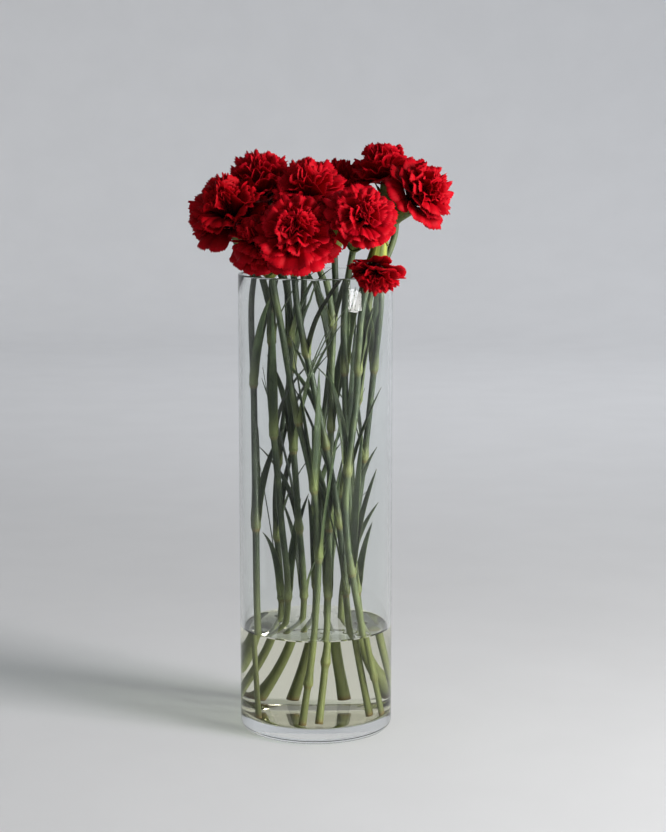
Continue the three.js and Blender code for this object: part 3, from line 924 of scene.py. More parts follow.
@dataclass
class LeafPlan:
    """Where the leaves go: pairs on the knots, swung and bent clear of everything else.

    The heads, and the balls that fill the stems and the leaves placed so far, each with its
    flower's number as its owner, are what a new leaf keeps clear of.
    """

    heads: Array = field(init=False)
    head_radii: Array = field(init=False)
    spots: Array = field(init=False)
    rooms: Array = field(init=False)
    owners: Array = field(init=False)
    lengths: tuple[float, float] = (64 * MM, 104 * MM)
    bends: tuple[float, ...] = (60, 50, 40, 30, 20, 10, 2)
    swings: tuple[float, ...] = (0, 22, -22, 44, -44, 66, -66, 88, -88, 110, -110)
    shortenings: tuple[float, ...] = (1, 0.85, 0.7, 0.55)
    samples: int = 26
    width: float = 5.6 * MM
    room: float = 1.7 * MM
    spot_shares: tuple[float, ...] = (-0.4, 0.0, 0.4)
    spot_radius: float = 1.5 * MM
    reach: float = 44.3 * MM
    top: float = 306 * MM
    first_height: float = 78 * MM
    head_room: float = 4 * MM
    seed: int = 11
    least_turn: float = 0.001
    levels: int = 4
    turn: float = 2.4
    clear_low: tuple[float, ...] = (-29.7 * MM, -35.7 * MM, 69.3 * MM)
    clear_high: tuple[float, ...] = (-6.3 * MM, -16.3 * MM, 158.7 * MM)

    def place(self, flowers: tuple[Flower, ...]) -> list[Leaf]:
        """Finds a place for each leaf in turn, tier by tier of knots.

        Args:
            flowers: all the flowers.

        Returns:
            The leaves that found room.
        """
        draw = Draw(self.seed)
        self.heads = np.array([flower.centre for flower in flowers])
        self.head_radii = np.array([flower.radius for flower in flowers])
        sampled = [flower.samples() for flower in flowers]
        self.spots = np.concatenate([spots for spots, _ in sampled])
        self.rooms = np.concatenate([rooms for _, rooms in sampled])
        self.owners = np.concatenate(
            [np.full(len(rooms), f.index) for f, (_, rooms) in zip(flowers, sampled)]
        )
        leaves = []
        for tier in range(self.levels):
            for flower in flowers:
                knots = [k for k in flower.knot_heights() if k > self.first_height]
                for side in range(2) if tier < len(knots) else ():
                    azimuth = self.turn * flower.index + math.pi / 2 * tier + math.pi * side
                    length = self.lengths[0] + (self.lengths[1] - self.lengths[0]) * draw()
                    base = flower.at_height(knots[tier])
                    leaf = self.find(flower.index, base, azimuth, length)
                    if leaf:
                        leaves.append(leaf)
                        self.keep_clear_of(leaf)
        return leaves

    def find(self, owner: int, base: Array, azimuth: float, length: float) -> Leaf | None:
        """The first shorter, straighter or swung leaf that has room.

        Args:
            owner: the flower's number.
            base: where the leaf leaves the stem.
            azimuth: the way it would lean.
            length: the length it would have.

        Returns:
            The leaf, or None where none has room.
        """
        for shortening in self.shortenings:
            for bend in np.radians(self.bends):
                for swing in np.radians(self.swings):
                    turn = azimuth + swing
                    out = np.array([math.cos(turn), math.sin(turn), 0.0])
                    bent = bend + self.least_turn
                    leaf = Leaf(owner, base, out, length * shortening, bent)
                    if self.fits(leaf):
                        return leaf
        return None

    def sampled(self, leaf: Leaf) -> Array:
        """Evenly spaced points along a leaf."""
        return leaf.line((np.arange(self.samples) + 1) / self.samples)[0]

    def fits(self, leaf: Leaf) -> bool:
        """Whether a leaf keeps inside the vase and clear of heads, stems and other leaves.

        It also keeps out of the clear space between the stems.
        """
        points = self.sampled(leaf)
        outside = points - np.clip(points, self.clear_low, self.clear_high)
        if (np.linalg.norm(outside, axis=1) < self.width / 2).any():
            return False
        if (np.hypot(points[:, 0], points[:, 1]) > self.reach).any():
            return False
        if (points[:, 2] > self.top).any():
            return False
        to_heads = np.linalg.norm(points[:, None] - self.heads, axis=2)
        if (to_heads < self.head_radii + self.head_room).any():
            return False
        others = self.owners != leaf.owner
        ways = self.spots[others] - points[:, None]
        across = np.cross(UP, leaf.out)
        sideways = np.clip(ways @ across, -self.width / 2, self.width / 2)
        distance = np.linalg.norm(ways - sideways[..., None] * across, axis=2)
        return bool((distance > self.rooms[others] + self.room).all())

    def keep_clear_of(self, leaf: Leaf) -> None:
        """Adds a placed leaf, as small balls that fill it, to what later leaves keep clear of."""
        across = np.cross(UP, leaf.out)
        shares = np.array(self.spot_shares)[:, None] * self.width
        points = (self.sampled(leaf)[:, None] + shares * across).reshape(-1, 3)
        self.spots = np.concatenate([self.spots, points])
        self.rooms = np.concatenate([self.rooms, np.full(len(points), self.spot_radius)])
        self.owners = np.concatenate([self.owners, np.full(len(points), leaf.owner)])


# Green pieces. The shifts spread numbers from 0 to 1 over knots, flowers, calyxes and leaves.
KNOT_SHIFT = 0.618
FLOWER_SHIFT = 0.37
CALYX_SHIFT = 0.53
LEAF_SHIFT = 0.29


class Green(Enum):
    """Which of a leafy stem's materials a patch takes."""

    STEM = 0
    CALYX = 1
    LEAF = 2


@dataclass
class LeafyStem:
    """A stem from its cut foot to the calyx under its bloom, with its pairs of leaves."""

    flower: Flower
    leaves: list[Leaf]
    sides: int = 16
    step: float = 1.6 * MM
    foot_flare: float = 12 * MM
    knot_swell: float = 0.9 * MM
    knot_below: float = 1.5 * MM
    knot_above: float = 6 * MM
    pale_below: float = 2 * MM
    pale_above: float = 8 * MM
    ring_width: float = 0.7 * MM
    foot_brown: float = 2.5 * MM
    knot_strengths: tuple[float, float] = (0.3, 0.7)
    ring_brown: float = 1.2
    foot_pale: float = 0.45
    foot_fade: tuple[float, float] = (55 * MM, 130 * MM)
    calyx_rows: int = 18
    calyx_columns: int = 60
    calyx_wall: float = 0.5 * MM
    brim_radius: float = 7.3 * MM
    rib: float = 0.12 * MM
    keel: float = 0.3 * MM
    tooth: float = 0.24
    bract_length: float = 7 * MM
    bract_drop: float = 0.8 * MM
    bract_span: float = 52
    bract_wall: float = 0.35 * MM
    bract_lifts: tuple[float, float] = (0.45 * MM, 0.35 * MM)
    bract_lean: float = 0.5 * MM
    blade_half_width: float = 2.8 * MM
    sheath_half_width: float = 4.4 * MM
    sheath_radius: float = 2.9 * MM
    sheath_length: float = 8 * MM
    sheath_fade: float = 10 * MM
    pale_length: float = 11 * MM
    blade_wall: float = 1.0 * MM
    least_wall: float = 0.22 * MM
    blade_twist: float = 14
    blade_curl: float = 9 * MM
    blade_tip: float = 0.08 * MM
    opening: tuple[float, float] = (2 * MM, 22 * MM)
    blade_rows: int = 30
    blade_columns: int = 9

    def stem(self) -> Patch:
        """The tube, swollen at each knot, with a cut foot and its top inside the calyx."""
        flower = self.flower
        last = len(flower.path.points) - 2
        parts = []
        for piece in range(last):
            steps = max(2, round(flower.path.chords[piece] / self.step))
            parts.append(flower.path.at(piece, np.linspace(0, 1, steps, endpoint=False)))
        inside = np.linspace(0, 0.5 * flower.calyx, 6)[:, None] * flower.ahead
        path = np.concatenate([*parts, flower.neck + inside])
        height = path[:, 2]
        before_neck = np.arange(len(path)) < len(path) - len(inside)
        radii = STEM.radius + (STEM.foot_radius - STEM.radius) * bump_at(
            height, height[0], self.foot_flare
        )
        pale = np.zeros(len(path))
        brown = bump_at(height, height[0], self.foot_brown)
        for number, knot in enumerate(flower.knot_heights()):
            swell = uneven_bump(height, knot, self.knot_below, self.knot_above)
            radii = radii + self.knot_swell * swell
            own = (KNOT_SHIFT * number + FLOWER_SHIFT * flower.index) % 1
            low, high = self.knot_strengths
            strength = low + (high - low) * own
            tint = uneven_bump(height, knot, self.pale_below, self.pale_above)
            pale = np.maximum(pale, strength * tint)
            ring = bump_at(height, knot - self.knot_below, self.ring_width)
            brown = np.maximum(brown, (self.ring_brown - strength) * ring)
        pale = np.maximum(pale, self.foot_pale * (1 - smooth_step(*self.foot_fade, height)))
        radii = np.where(before_neck, radii, STEM.radius)
        rings = rings_along(path, radii, self.sides)
        marks = marks_of(pale, brown, (flower.index * FLOWER_SHIFT) % 1)
        return solid_of_rings(rings, marks[:, None])

    def cup_radius(self, share: Array) -> Array:
        """The calyx's radius at shares of its length, which goes on widening up its teeth."""
        brim = (1 + self.tooth, self.brim_radius)
        shares, radii = zip((0.0, STEM.radius), *STEM.calyx_radii, brim)
        return np.interp(share, shares, radii)

    def calyx(self) -> Patch:
        """The cup: a thin wall that widens from the neck and ends in five pointed teeth.

        The wall's height at an angle is the calyx's length plus the tooth, times one less the
        distance from the middle of the tooth, so the rim is a zigzag of five points.
        """
        flower = self.flower
        side, forward = flower.sides()
        rows = np.linspace(0, 1, self.calyx_rows)[:, None]
        turn = np.linspace(0, 2 * math.pi, self.calyx_columns, endpoint=False)[None, :]
        phase = (5 * turn / (2 * math.pi)) % 1
        point = 1 - np.abs(2 * phase - 1)
        reach = 0.9 + self.tooth * point**0.8
        share = rows * reach
        ribs = self.rib * np.cos(20 * turn) * smooth_step(0.1, 0.3, share)
        keels = self.keel * (point - 0.5) * smooth_step(0.5, 1.0, share)
        radius = self.cup_radius(share) + ribs + keels
        middles = (
            flower.neck
            + flower.ahead * (share * flower.calyx)[..., None]
            + spokes(side, forward, turn) * radius[..., None]
        )
        pale = flower.calyx_pale * (0.55 + 0.45 * np.cos(2 * math.pi * (phase - 0.5)))
        pale = np.clip(pale + 0.35 * (1 - smooth_step(0, 0.35, share)), 0, 1)
        brown = 0.35 * smooth_step(1.0, 1.14, share)
        marks = marks_of(pale, brown, (flower.index * CALYX_SHIFT) % 1)
        return sheet_solids(
            middles[None], self.calyx_wall, marks[None], Green.CALYX.value, ringed=True
        )

    def bracts(self) -> Patch:
        """Four broad pointed scales that hug the foot of the calyx, in two pairs.

        Each spans an angle that falls to nothing at its tip, just outside the calyx's wall.
        """
        flower = self.flower
        side, forward = flower.sides()
        t = np.linspace(0, 1, 10)[None, :, None]
        s = np.linspace(-1, 1, 9)[None, None, :]
        about = (np.arange(4) * math.pi / 2)[:, None, None] + 0.4
        share = t * self.bract_length / flower.calyx
        inner, outer = self.bract_lifts
        layer = inner + outer * (np.arange(4) % 2)[:, None, None]
        radius = self.cup_radius(share) + layer + self.bract_lean * t**2
        span = math.radians(self.bract_span) * (1 - t**1.8) ** 0.8 + 0.015
        angle = about + span * s
        middles = (
            flower.neck
            - flower.ahead * self.bract_drop
            + flower.ahead * (t * self.bract_length)[..., None]
            + spokes(side, forward, angle) * radius[..., None]
        )
        marks = marks_of(0.45 * (1 - t) + 0.15, 0.3 * t**3, 0.5)
        return sheet_solids(middles, self.bract_wall, marks, Green.CALYX.value)

    def blade(self, leaf: Leaf, number: int) -> Patch:
        """One leaf: a channelled blade whose foot clasps the stem.

        Across the blade the section is an arc. Its radius grows from the sheath's to several
        times the blade's width, and the middle line starts that radius out from the stem.

        Args:
            leaf: the leaf.
            number: its place in the stem's list, which sets its tone and twist.

        Returns:
            The blade as a thin closed solid.
        """
        t = np.linspace(0, 1, self.blade_rows) ** 1.15
        s = np.linspace(-1, 1, self.blade_columns)[None, :]
        line, angle = leaf.line(t)
        way = t * leaf.length
        clasp = bump_at(way, 0, self.sheath_length)
        width = self.blade_half_width * (0.9 + 0.1 * np.sin(math.pi * np.minimum(t / 0.6, 1)))
        width = width * (1 - t**2.6) ** 0.85 + self.blade_tip
        width = width + (self.sheath_half_width - width) * clasp
        curl = self.sheath_radius + self.blade_curl * smooth_step(*self.opening, way)
        bow = s * (width / curl)[:, None]
        across = np.cross(UP, leaf.out)
        under = leaf.out * np.cos(angle)[:, None] - UP * np.sin(angle)[:, None]
        twist = math.radians(self.blade_twist) * math.sin(2.1 * number + leaf.owner)
        twist = twist * smooth_step(0.2, 1, t)
        flat = across * np.cos(twist)[:, None] + under * np.sin(twist)[:, None]
        square = under * np.cos(twist)[:, None] - across * np.sin(twist)[:, None]
        start = self.sheath_radius * np.exp(-way / self.sheath_fade)
        middle = line + leaf.out * start[:, None]
        sideways = np.sin(bow) * curl[:, None]
        inward = (np.cos(bow) - 1) * curl[:, None]
        points = (
            middle[:, None]
            + flat[:, None] * sideways[..., None]
            + square[:, None] * inward[..., None]
        )
        wall = self.blade_wall * (1 - 0.72 * np.abs(s) ** 1.5) * (1 - 0.6 * t[:, None])
        wall = np.maximum(wall * (1 - 0.5 * clasp[:, None]), self.least_wall)
        pale = 0.85 * bump_at(way, 0, self.pale_length)[:, None] + 0.18 * np.abs(s) ** 3
        brown = 0.5 * smooth_step(0.96, 1, t)[:, None]
        tone = (number * KNOT_SHIFT + leaf.owner * LEAF_SHIFT) % 1
        marks = marks_of(np.clip(pale, 0, 1), brown, tone)
        return sheet_solids(points[None], wall[None], marks[None], Green.LEAF.value)

    def build(self, materials: list[bpy.types.Material]) -> bpy.types.Object:
        """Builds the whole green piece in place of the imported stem."""
        own = [leaf for leaf in self.leaves if leaf.owner == self.flower.index]
        patches = [self.stem(), self.calyx(), self.bracts()]
        patches += [self.blade(leaf, number) for number, leaf in enumerate(own)]
        piece = make_object(f"carnation_stem_{self.flower.number}", patches, materials)
        stand_for(piece, f"leafy_stem_{self.flower.number}")
        return piece


# Blooms
@dataclass(frozen=True)
class PetalLayer:
    """One layer of petals, its lengths as shares of the bloom's radius, its angles in degrees.

    Attributes:
        count: how many petals there are.
        length: how long they are.
        start: the angle from the bloom's axis at which their claws leave its base.
        end: that angle at their edge, after the blade has bent outwards.
        step: how far up the axis they start.
        spread: half the angle about the axis that a petal takes.
        ruffle: how far its broad waves swing at the edge.
        fold: how deep the creases are between its lobes.
    """

    count: int
    length: float
    start: float
    end: float
    step: float
    spread: float
    ruffle: float
    fold: float


PETAL_LAYERS = (
    PetalLayer(6, 1.12, 62, 120, 0.02, 44, 0.04, 0.06),
    PetalLayer(6, 1.12, 48, 106, 0.07, 44, 0.06, 0.08),
    PetalLayer(6, 1.1, 35, 93, 0.12, 44, 0.08, 0.1),
    PetalLayer(6, 1.06, 24, 80, 0.18, 46, 0.1, 0.12),
    PetalLayer(5, 1.01, 15, 68, 0.23, 52, 0.12, 0.13),
    PetalLayer(5, 0.93, 8, 56, 0.27, 56, 0.13, 0.13),
    PetalLayer(4, 0.86, 2, 40, 0.3, 66, 0.13, 0.13),
)


# The two ways that the limit between two heads waves along, in radians to the metre.
SWELL_ONE = np.array([300.0, 130.0, 240.0])
SWELL_TWO = np.array([-170.0, 290.0, 260.0])


@dataclass
class PetalGrid:
    """The grid that the petals of one layer are laid out on, and their random numbers.

    Attributes:
        count: how many petals there are.
        rows: how many rows of points a petal has from its claw to its edge.
        columns: how many points there are in a row.
        rng: the bloom's own random numbers.
        t: the share of the way along at each row.
        s: the place across at each column, from -1 to 1.
    """

    count: int
    rows: int
    columns: int
    rng: np.random.Generator
    t: Array = field(init=False)
    s: Array = field(init=False)

    def __post_init__(self) -> None:
        """Lays out the rows, a little closer together towards the edge, and the columns."""
        self.t = (np.linspace(0, 1, self.rows) ** 0.9)[None, :, None]
        self.s = np.linspace(-1, 1, self.columns)[None, None, :]

    def vary(self, low: float, high: float) -> Array:
        """One random number for each petal."""
        return self.rng.uniform(low, high, (self.count, 1, 1))

    def about_zero(self, most: float) -> Array:
        """One random number for each petal, up to that much to either side of 0."""
        return self.vary(-most, most)


@dataclass
class Plane:
    """A limit to a bloom, where another head, a stem or the vase presses on it.

    Attributes:
        normal: the way from the bloom to what presses on it.
        offset: how far along the normal the plane lies.
        swell: how far the limit waves to and fro about the plane, the same for both heads.
    """

    normal: Array
    offset: float
    swell: float = 0.0

    def past(self, points: Array) -> Array:
        """How far points are past the limit, which waves as the place on the plane does."""
        ahead = points @ self.normal
        if not self.swell:
            return ahead - self.offset
        level = points - ahead[..., None] * self.normal
        wave = np.sin(level @ SWELL_ONE) * np.sin(level @ SWELL_TWO + 1.0)
        return ahead - self.offset - self.swell * wave


@dataclass
class Bloom:
    """A bloom: layers of thin ruffled petals with toothed edges about a small core that is dark as
    painted shade.
    """

    flower: Flower
    rows: int = 9
    columns: int = 49
    claw_wall: float = 0.5 * MM
    edge_wall: float = 0.2 * MM
    claw_share: float = 0.42
    claw_ring: float = 0.05
    corner_rounding: float = 0.17
    tooth_depth: float = 0.017
    lobes: tuple[float, float] = (2.6, 4.6)
    lobe_phase: float = 3.1
    crease_width: float = 0.3
    bites: tuple[float, float] = (0.2, 1.6)
    notches: tuple[float, float] = (0.01, 0.06)
    azimuth_jitter: float = 0.3
    spreads: tuple[float, float] = (0.88, 1.12)
    start_jitter: float = 8
    end_jitter: float = 15
    petal_lengths: tuple[float, float] = (0.9, 1.04)
    half_waves: tuple[float, float] = (0.8, 1.9)
    wave_phase: float = 6.3
    swings: tuple[float, float] = (0.7, 1.3)
    folds: tuple[float, float] = (0.6, 1.4)
    cups: tuple[float, float] = (-0.04, 0.1)
    slant: float = 0.05
    tilt: float = 0.06
    painted_crease_shade: float = 0.25
    heart_length: float = 0.62
    heart_radii: tuple[float, float, float] = (0.15, 0.16, 0.06)
    heart_sides: int = 14
    seed: int = 400
    droop: float = 10
    head_touch: float = 6 * MM
    petal_room: float = 0.9 * MM
    head_reach: float = 1.15
    press_depth: float = 3 * MM
    swell: float = 3.6 * MM
    pressed_in: float = 0.9
    towards: tuple[float, float] = (0.3, 0.9)
    company_length: float = 0.04
    company_turn: float = 14
    vase_radius: float = 50 * MM
    vase_height: float = 300 * MM

    def planes(self, flowers: tuple[Flower, ...]) -> list[Plane]:
        """The planes that press on this bloom.

        Two heads that touch share the plane where their spheres would cross. A stem presses
        with the plane square to the way to its nearest point. A head outside the rim lies
        against the upright plane that touches the vase.
        """
        own = self.flower
        heads, stems, walls = [], [], []
        for other in flowers:
            if other is own:
                continue
            between = other.centre - own.centre
            distance = float(np.linalg.norm(between))
            if distance <= own.radius + other.radius + self.head_touch:
                share = (distance**2 + own.radius**2 - other.radius**2) / (2 * distance)
                swell = self.swell if own.index < other.index else -self.swell
                heads.append(self.plane(between / distance, share - GAP / 2, swell))
            spots, radii = other.samples()
            ways = spots - own.centre
            rooms = np.linalg.norm(ways, axis=1) - radii - GAP - self.petal_room
            nearest = int(rooms.argmin())
            if rooms[nearest] <= self.head_reach * own.radius:
                stems.append(self.plane(unit(ways[nearest]), float(rooms[nearest])))
        x, y, z = own.centre
        distance = math.hypot(x, y)
        if distance >= self.vase_radius and z - own.radius <= self.vase_height:
            inward = np.array([-x, -y, 0.0]) / distance
            walls.append(self.plane(inward, distance - self.vase_radius - GAP))
        return [*heads, *stems, *walls]

    def plane(self, normal: Array, share: float, swell: float = 0.0) -> Plane:
        """The limit square to a direction, that far from the bloom's middle."""
        return Plane(normal, float(normal @ self.flower.centre) + share, swell)

    def press(self, points: Array, planes: list[Plane]) -> Array:
        """Moves points back that would pass a plane, the more the further they would reach.

        What is within the press depth of the plane, or past it, keeps a distance from it that
        falls off exponentially, so nothing goes through.

        Args:
            points: the points.
            planes: the planes that bound the bloom.

        Returns:
            The pressed points.
        """
        for plane in planes:
            past = plane.past(points) + self.press_depth
            kept = self.press_depth * (1 - np.exp(-np.maximum(past, 0) / self.press_depth))
            points = points + np.where(past > 0, kept - past, 0)[..., None] * plane.normal
        return points

    def company(self, ways: Array, planes: list[Plane]) -> Array:
        """How straight each way points at a head that is pressed into this one, from 0 to 1."""
        centre, radius = self.flower.centre, self.flower.radius
        heads = [
            plane.normal
            for plane in planes
            if plane.swell and plane.offset - plane.normal @ centre < self.pressed_in * radius
        ]
        if not heads:
            return np.zeros(ways.shape[:-1])
        return smooth_step(*self.towards, (ways @ np.array(heads).T).max(axis=-1))

    def edge(self, grid: PetalGrid) -> tuple[Array, Array, Array]:
        """Cuts the petals' edges, by shortening or lengthening the way along near them.

        The corners are rounded, each crease between two lobes ends in a notch, and teeth stand
        all along.

        Args:
            grid: the petals' grid.

        Returns:
            The share of the way along that each point lies at, the height of the lobes there,
            and how deep in a crease it is.
        """
        t, s = grid.t, grid.s
        zigzag = np.where(np.arange(grid.columns) % 2 == 0, 1, -1)
        bite = grid.rng.uniform(*self.bites, (grid.count, 1, grid.columns)) * zigzag
        lobes = math.pi / 2 * grid.vary(*self.lobes)
        ridge = np.abs(np.sin(lobes * s + grid.vary(0, self.lobe_phase)))
        crease = bump_at(ridge, 0, self.crease_width)
        along = t * (1 - self.corner_rounding * np.abs(s) ** 4 * t)
        along = along - grid.vary(*self.notches) * crease * t**4 + self.tooth_depth * bite * t**7
        return along, ridge, crease

    def lift(self, grid: PetalGrid, layer: PetalLayer, ridge: Array) -> Array:
        """How far the points are raised along the normal, as shares of the bloom's radius.

        Args:
            grid: the petals' grid.
            layer: the layer's sizes.
            ridge: the height of the lobes.

        Returns:
            The sum of the broad waves, the folds between the lobes, a cup, a slant and a tilt.
        """
        t, s = grid.t, grid.s
        waves = grid.vary(*self.half_waves) * math.pi
        ripple = np.sin(waves * s + grid.vary(0, self.wave_phase))
        ripple = ripple + 0.5 * t * np.sin(2.3 * waves * s + grid.vary(0, self.wave_phase))
        swing = layer.ruffle * grid.vary(*self.swings) * t**1.7 * ripple
        pleat = layer.fold * grid.vary(*self.folds) * t**1.3 * (ridge - 0.6)
        cup = grid.vary(*self.cups) * s**2 * t + grid.about_zero(self.slant) * s * t
        return swing + pleat + cup + grid.about_zero(self.tilt) * t

    def petals(
        self, layer: PetalLayer, depth: int, rng: np.random.Generator, planes: list[Plane]
    ) -> Patch:
        """All the petals of one layer, as thin closed solids.

        Along a petal its claw is straight and its blade bends outwards in an arc. Across it the
        surface fans about the axis. Its edge is cut and its surface raised by the methods above.

        Args:
            layer: the layer's sizes.
            depth: the layer's number, from the outside.
            rng: the bloom's own random numbers.
            planes: the planes that bound the bloom. Petals towards another head are longer
                and bend less, so that the heads meet high up.

        Returns:
            The petals.
        """
        flower = self.flower
        side, forward = flower.sides()
        grid = PetalGrid(layer.count, self.rows, self.columns, rng)
        along, ridge, crease = self.edge(grid)
        azimuth = (np.arange(grid.count) + 0.5 * depth)[:, None, None] * 2 * math.pi / grid.count
        azimuth = azimuth + grid.about_zero(self.azimuth_jitter) + flower.index
        fan_share = 0.4 + 0.6 * smooth_step(0.0, 0.55, grid.t)
        spread = math.radians(layer.spread) * grid.vary(*self.spreads)
        out = spokes(side, forward, azimuth + spread * grid.s * fan_share)
        company = self.company(spokes(side, forward, azimuth), planes)
        hang = np.maximum(-out[..., 2], 0) * math.radians(self.droop) * (depth < 2)
        start = np.radians(layer.start + grid.about_zero(self.start_jitter))
        end = layer.end * flower.openness - self.company_turn * company
        turn = np.radians(end - layer.start + grid.about_zero(self.end_jitter)) + hang
        claw = np.minimum(along, self.claw_share)
        angle = start + turn * ((along - claw) / (1 - self.claw_share))
        length = layer.length * flower.radius * grid.vary(*self.petal_lengths)
        length = length * (1 + self.company_length * company)
        bend = length * (1 - self.claw_share) / turn
        reach = length * claw * np.sin(start) + bend * (np.cos(start) - np.cos(angle))
        rise = length * claw * np.cos(start) + bend * (np.sin(angle) - np.sin(start))
        normal = flower.ahead * np.sin(angle)[..., None] - out * np.cos(angle)[..., None]
        lift = self.lift(grid, layer, ridge)
        up = rise * flower.depth + GAP + layer.step * flower.depth * flower.radius
        points = (
            flower.base
            + flower.ahead * up[..., None]
            + out * (reach + self.claw_ring * flower.radius * (1 - grid.t))[..., None]
            + normal * (lift * flower.radius)[..., None]
        )
        wall = self.claw_wall + (self.edge_wall - self.claw_wall) * grid.t
        # Painted shade: the share along, which the material darkens towards the claw, is lowered
        # further in the creases between the lobes.
        shade = grid.t * (1 - self.painted_crease_shade * crease)
        # Each petal's tone differs at random, and the flower's painted shade lowers it for blooms
        # that sit in the others' shadow.
        tone = grid.vary(0, 1) - flower.painted_shade
        return sheet_solids(points, wall, marks_of(shade, grid.s, tone))

    def heart(self) -> Patch:
        """A small core that closes the view between the petals' claws. It is painted shade: with
        no marks, it takes the petal's darkest, claw colour.
        """
        flower = self.flower
        way = np.linspace(0, self.heart_length * flower.depth * flower.radius, 8)
        path = flower.base + flower.ahead * (way + GAP)[:, None]
        radii = flower.radius * np.interp(way / way[-1], [0, 0.4, 1], self.heart_radii)
        return solid_of_rings(rings_along(path, radii, self.heart_sides))

    def build(
        self, flowers: tuple[Flower, ...], materials: list[bpy.types.Material]
    ) -> bpy.types.Object:
        """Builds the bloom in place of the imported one.

        Args:
            flowers: all the flowers, whose heads and stems press on this one.
            materials: the petals' material.

        Returns:
            The bloom's object.
        """
        rng = np.random.default_rng(self.seed + self.flower.index)
        planes = self.planes(flowers)
        patches = [self.petals(layer, i, rng, planes) for i, layer in enumerate(PETAL_LAYERS)]
        # The heart is a dark solid that stands in for the shade deep inside the bloom.
        patches.append(self.heart())
        for patch in patches:
            patch.points = self.press(self.press(patch.points, planes), planes)
        piece = make_object(f"carnation_bloom_{self.flower.number}", patches, materials)
        stand_for(piece, f"bloom_{self.flower.number}")
        return piece


# The vase and the water
@dataclass
class Vase:
    """A straight-sided glass cylinder with a thick floor, rounded at its base and rim."""

    radius: float = 50 * MM
    height: float = 300 * MM
    wall: float = 2.5 * MM
    floor: float = 10 * MM
    base_rounding: float = 5 * MM
    floor_rounding: float = 3 * MM
    rim_rounding: float = 1 * MM
    water_level: float = 68 * MM
    least_radius: float = 2 * MM
    sides: int = 180

    @property
    def inner_radius(self) -> float:
        """The radius of the inner wall."""
        return self.radius - self.wall

    def profile(self) -> tuple[Array, int]:
        """The wall's section, and how many of its points come before the water's level."""
        inner, rim, base = self.inner_radius, self.rim_rounding, self.base_rounding
        floor, corner = self.floor, self.floor_rounding
        top = self.height - rim
        outside = np.linspace(base, top, 24)[1:-1]
        above = np.linspace(top, self.water_level, 20)[1:]
        below = np.linspace(self.water_level, floor + corner, 8)[1:-1]
        dry = np.concatenate(
            [
                out_at(0, np.linspace(self.least_radius, self.radius - base, 6)[:-1]),
                arc((self.radius - base, base), base, -90, 0, 10),
                up_at(self.radius, outside),
                arc((self.radius - rim, top), rim, 0, 90, 5),
                arc((inner + rim, top), rim, 90, 180, 5),
                up_at(inner, above),
            ]
        )
        wet = np.concatenate(
            [
                up_at(inner, below),
                arc((inner - corner, floor + corner), corner, 0, -90, 8),
                out_at(floor, np.linspace(inner - corner, self.least_radius, 6)[1:]),
            ]
        )
        return np.concatenate([dry, wet]), len(dry)

    def build(self, glass: SodaLimeGlass) -> bpy.types.Object:
        """Builds the vase, with the faces under water as glass against water."""
        profile, dry = self.profile()
        strips = np.arange(len(profile) - 1) >= dry - 1
        wet = np.repeat([*strips, False, True], self.sides)
        patch = solid_of_rings(turned_rings(profile, self.sides), finish=wet)
        materials = [glass.material(Beside.AIR), glass.material(Beside.WATER)]
        piece = make_object("glass_cylinder_vase", [patch], materials)
        stand_for(piece, "vase")
        return piece


@dataclass
class Water:
    """The water: it fills the vase to its level and creeps up where it meets glass or a stem."""

    vase: Vase
    gap: float = 0.03 * MM
    creep: float = 1.0 * MM
    creep_reach: float = 1.2 * MM
    stem_creep: float = 0.9 * MM
    sides: int = 180
    rings_across: int = 70

    def build(self, flowers: tuple[Flower, ...], finish: TapWater) -> bpy.types.Object:
        """Builds the water as a closed solid with a curved surface.

        The surface stands above its level by the creep at the wall, and by the smaller creep
        at each stem, and each falls off exponentially with the distance from it.

        Args:
            flowers: the flowers whose stems it meets.
            finish: the water's finish.

        Returns:
            The water's object.
        """
        vase = self.vase
        radius = vase.inner_radius - self.gap
        rounding = vase.floor_rounding
        bottom = vase.floor + self.gap
        side = np.linspace(bottom + rounding, vase.water_level, 10)[1:]
        across = radius * (1 - np.linspace(0, 1, self.rings_across) ** 1.35)[:-1]
        profile = np.concatenate(
            [
                [[vase.least_radius, bottom]],
                arc((radius - rounding, bottom + rounding), rounding, -90, 0, 6),
                up_at(radius, side),
                out_at(vase.water_level, across)[1:],
            ]
        )
        under = len(profile) - len(across)
        rings = turned_rings(profile, self.sides)
        top = rings[under:]
        from_wall = radius - np.hypot(top[..., 0], top[..., 1])
        rise = self.creep * np.exp(-from_wall / self.creep_reach)
        for flower in flowers:
            stem = flower.at_height(vase.water_level)
            distance = np.hypot(top[..., 0] - stem[0], top[..., 1] - stem[1])
            past = np.maximum(distance - STEM.radius, 0)
            rise = np.maximum(rise, self.stem_creep * np.exp(-past / self.creep_reach))
        top[..., 2] += rise
        strips = np.arange(len(profile) - 1) < under
        against = np.repeat([*strips, True, False], self.sides)
        patch = solid_of_rings(rings, finish=against)
        piece = make_object("still_water", [patch], [finish.surface(), finish.side()])
        stand_for(piece, "water")
        return piece


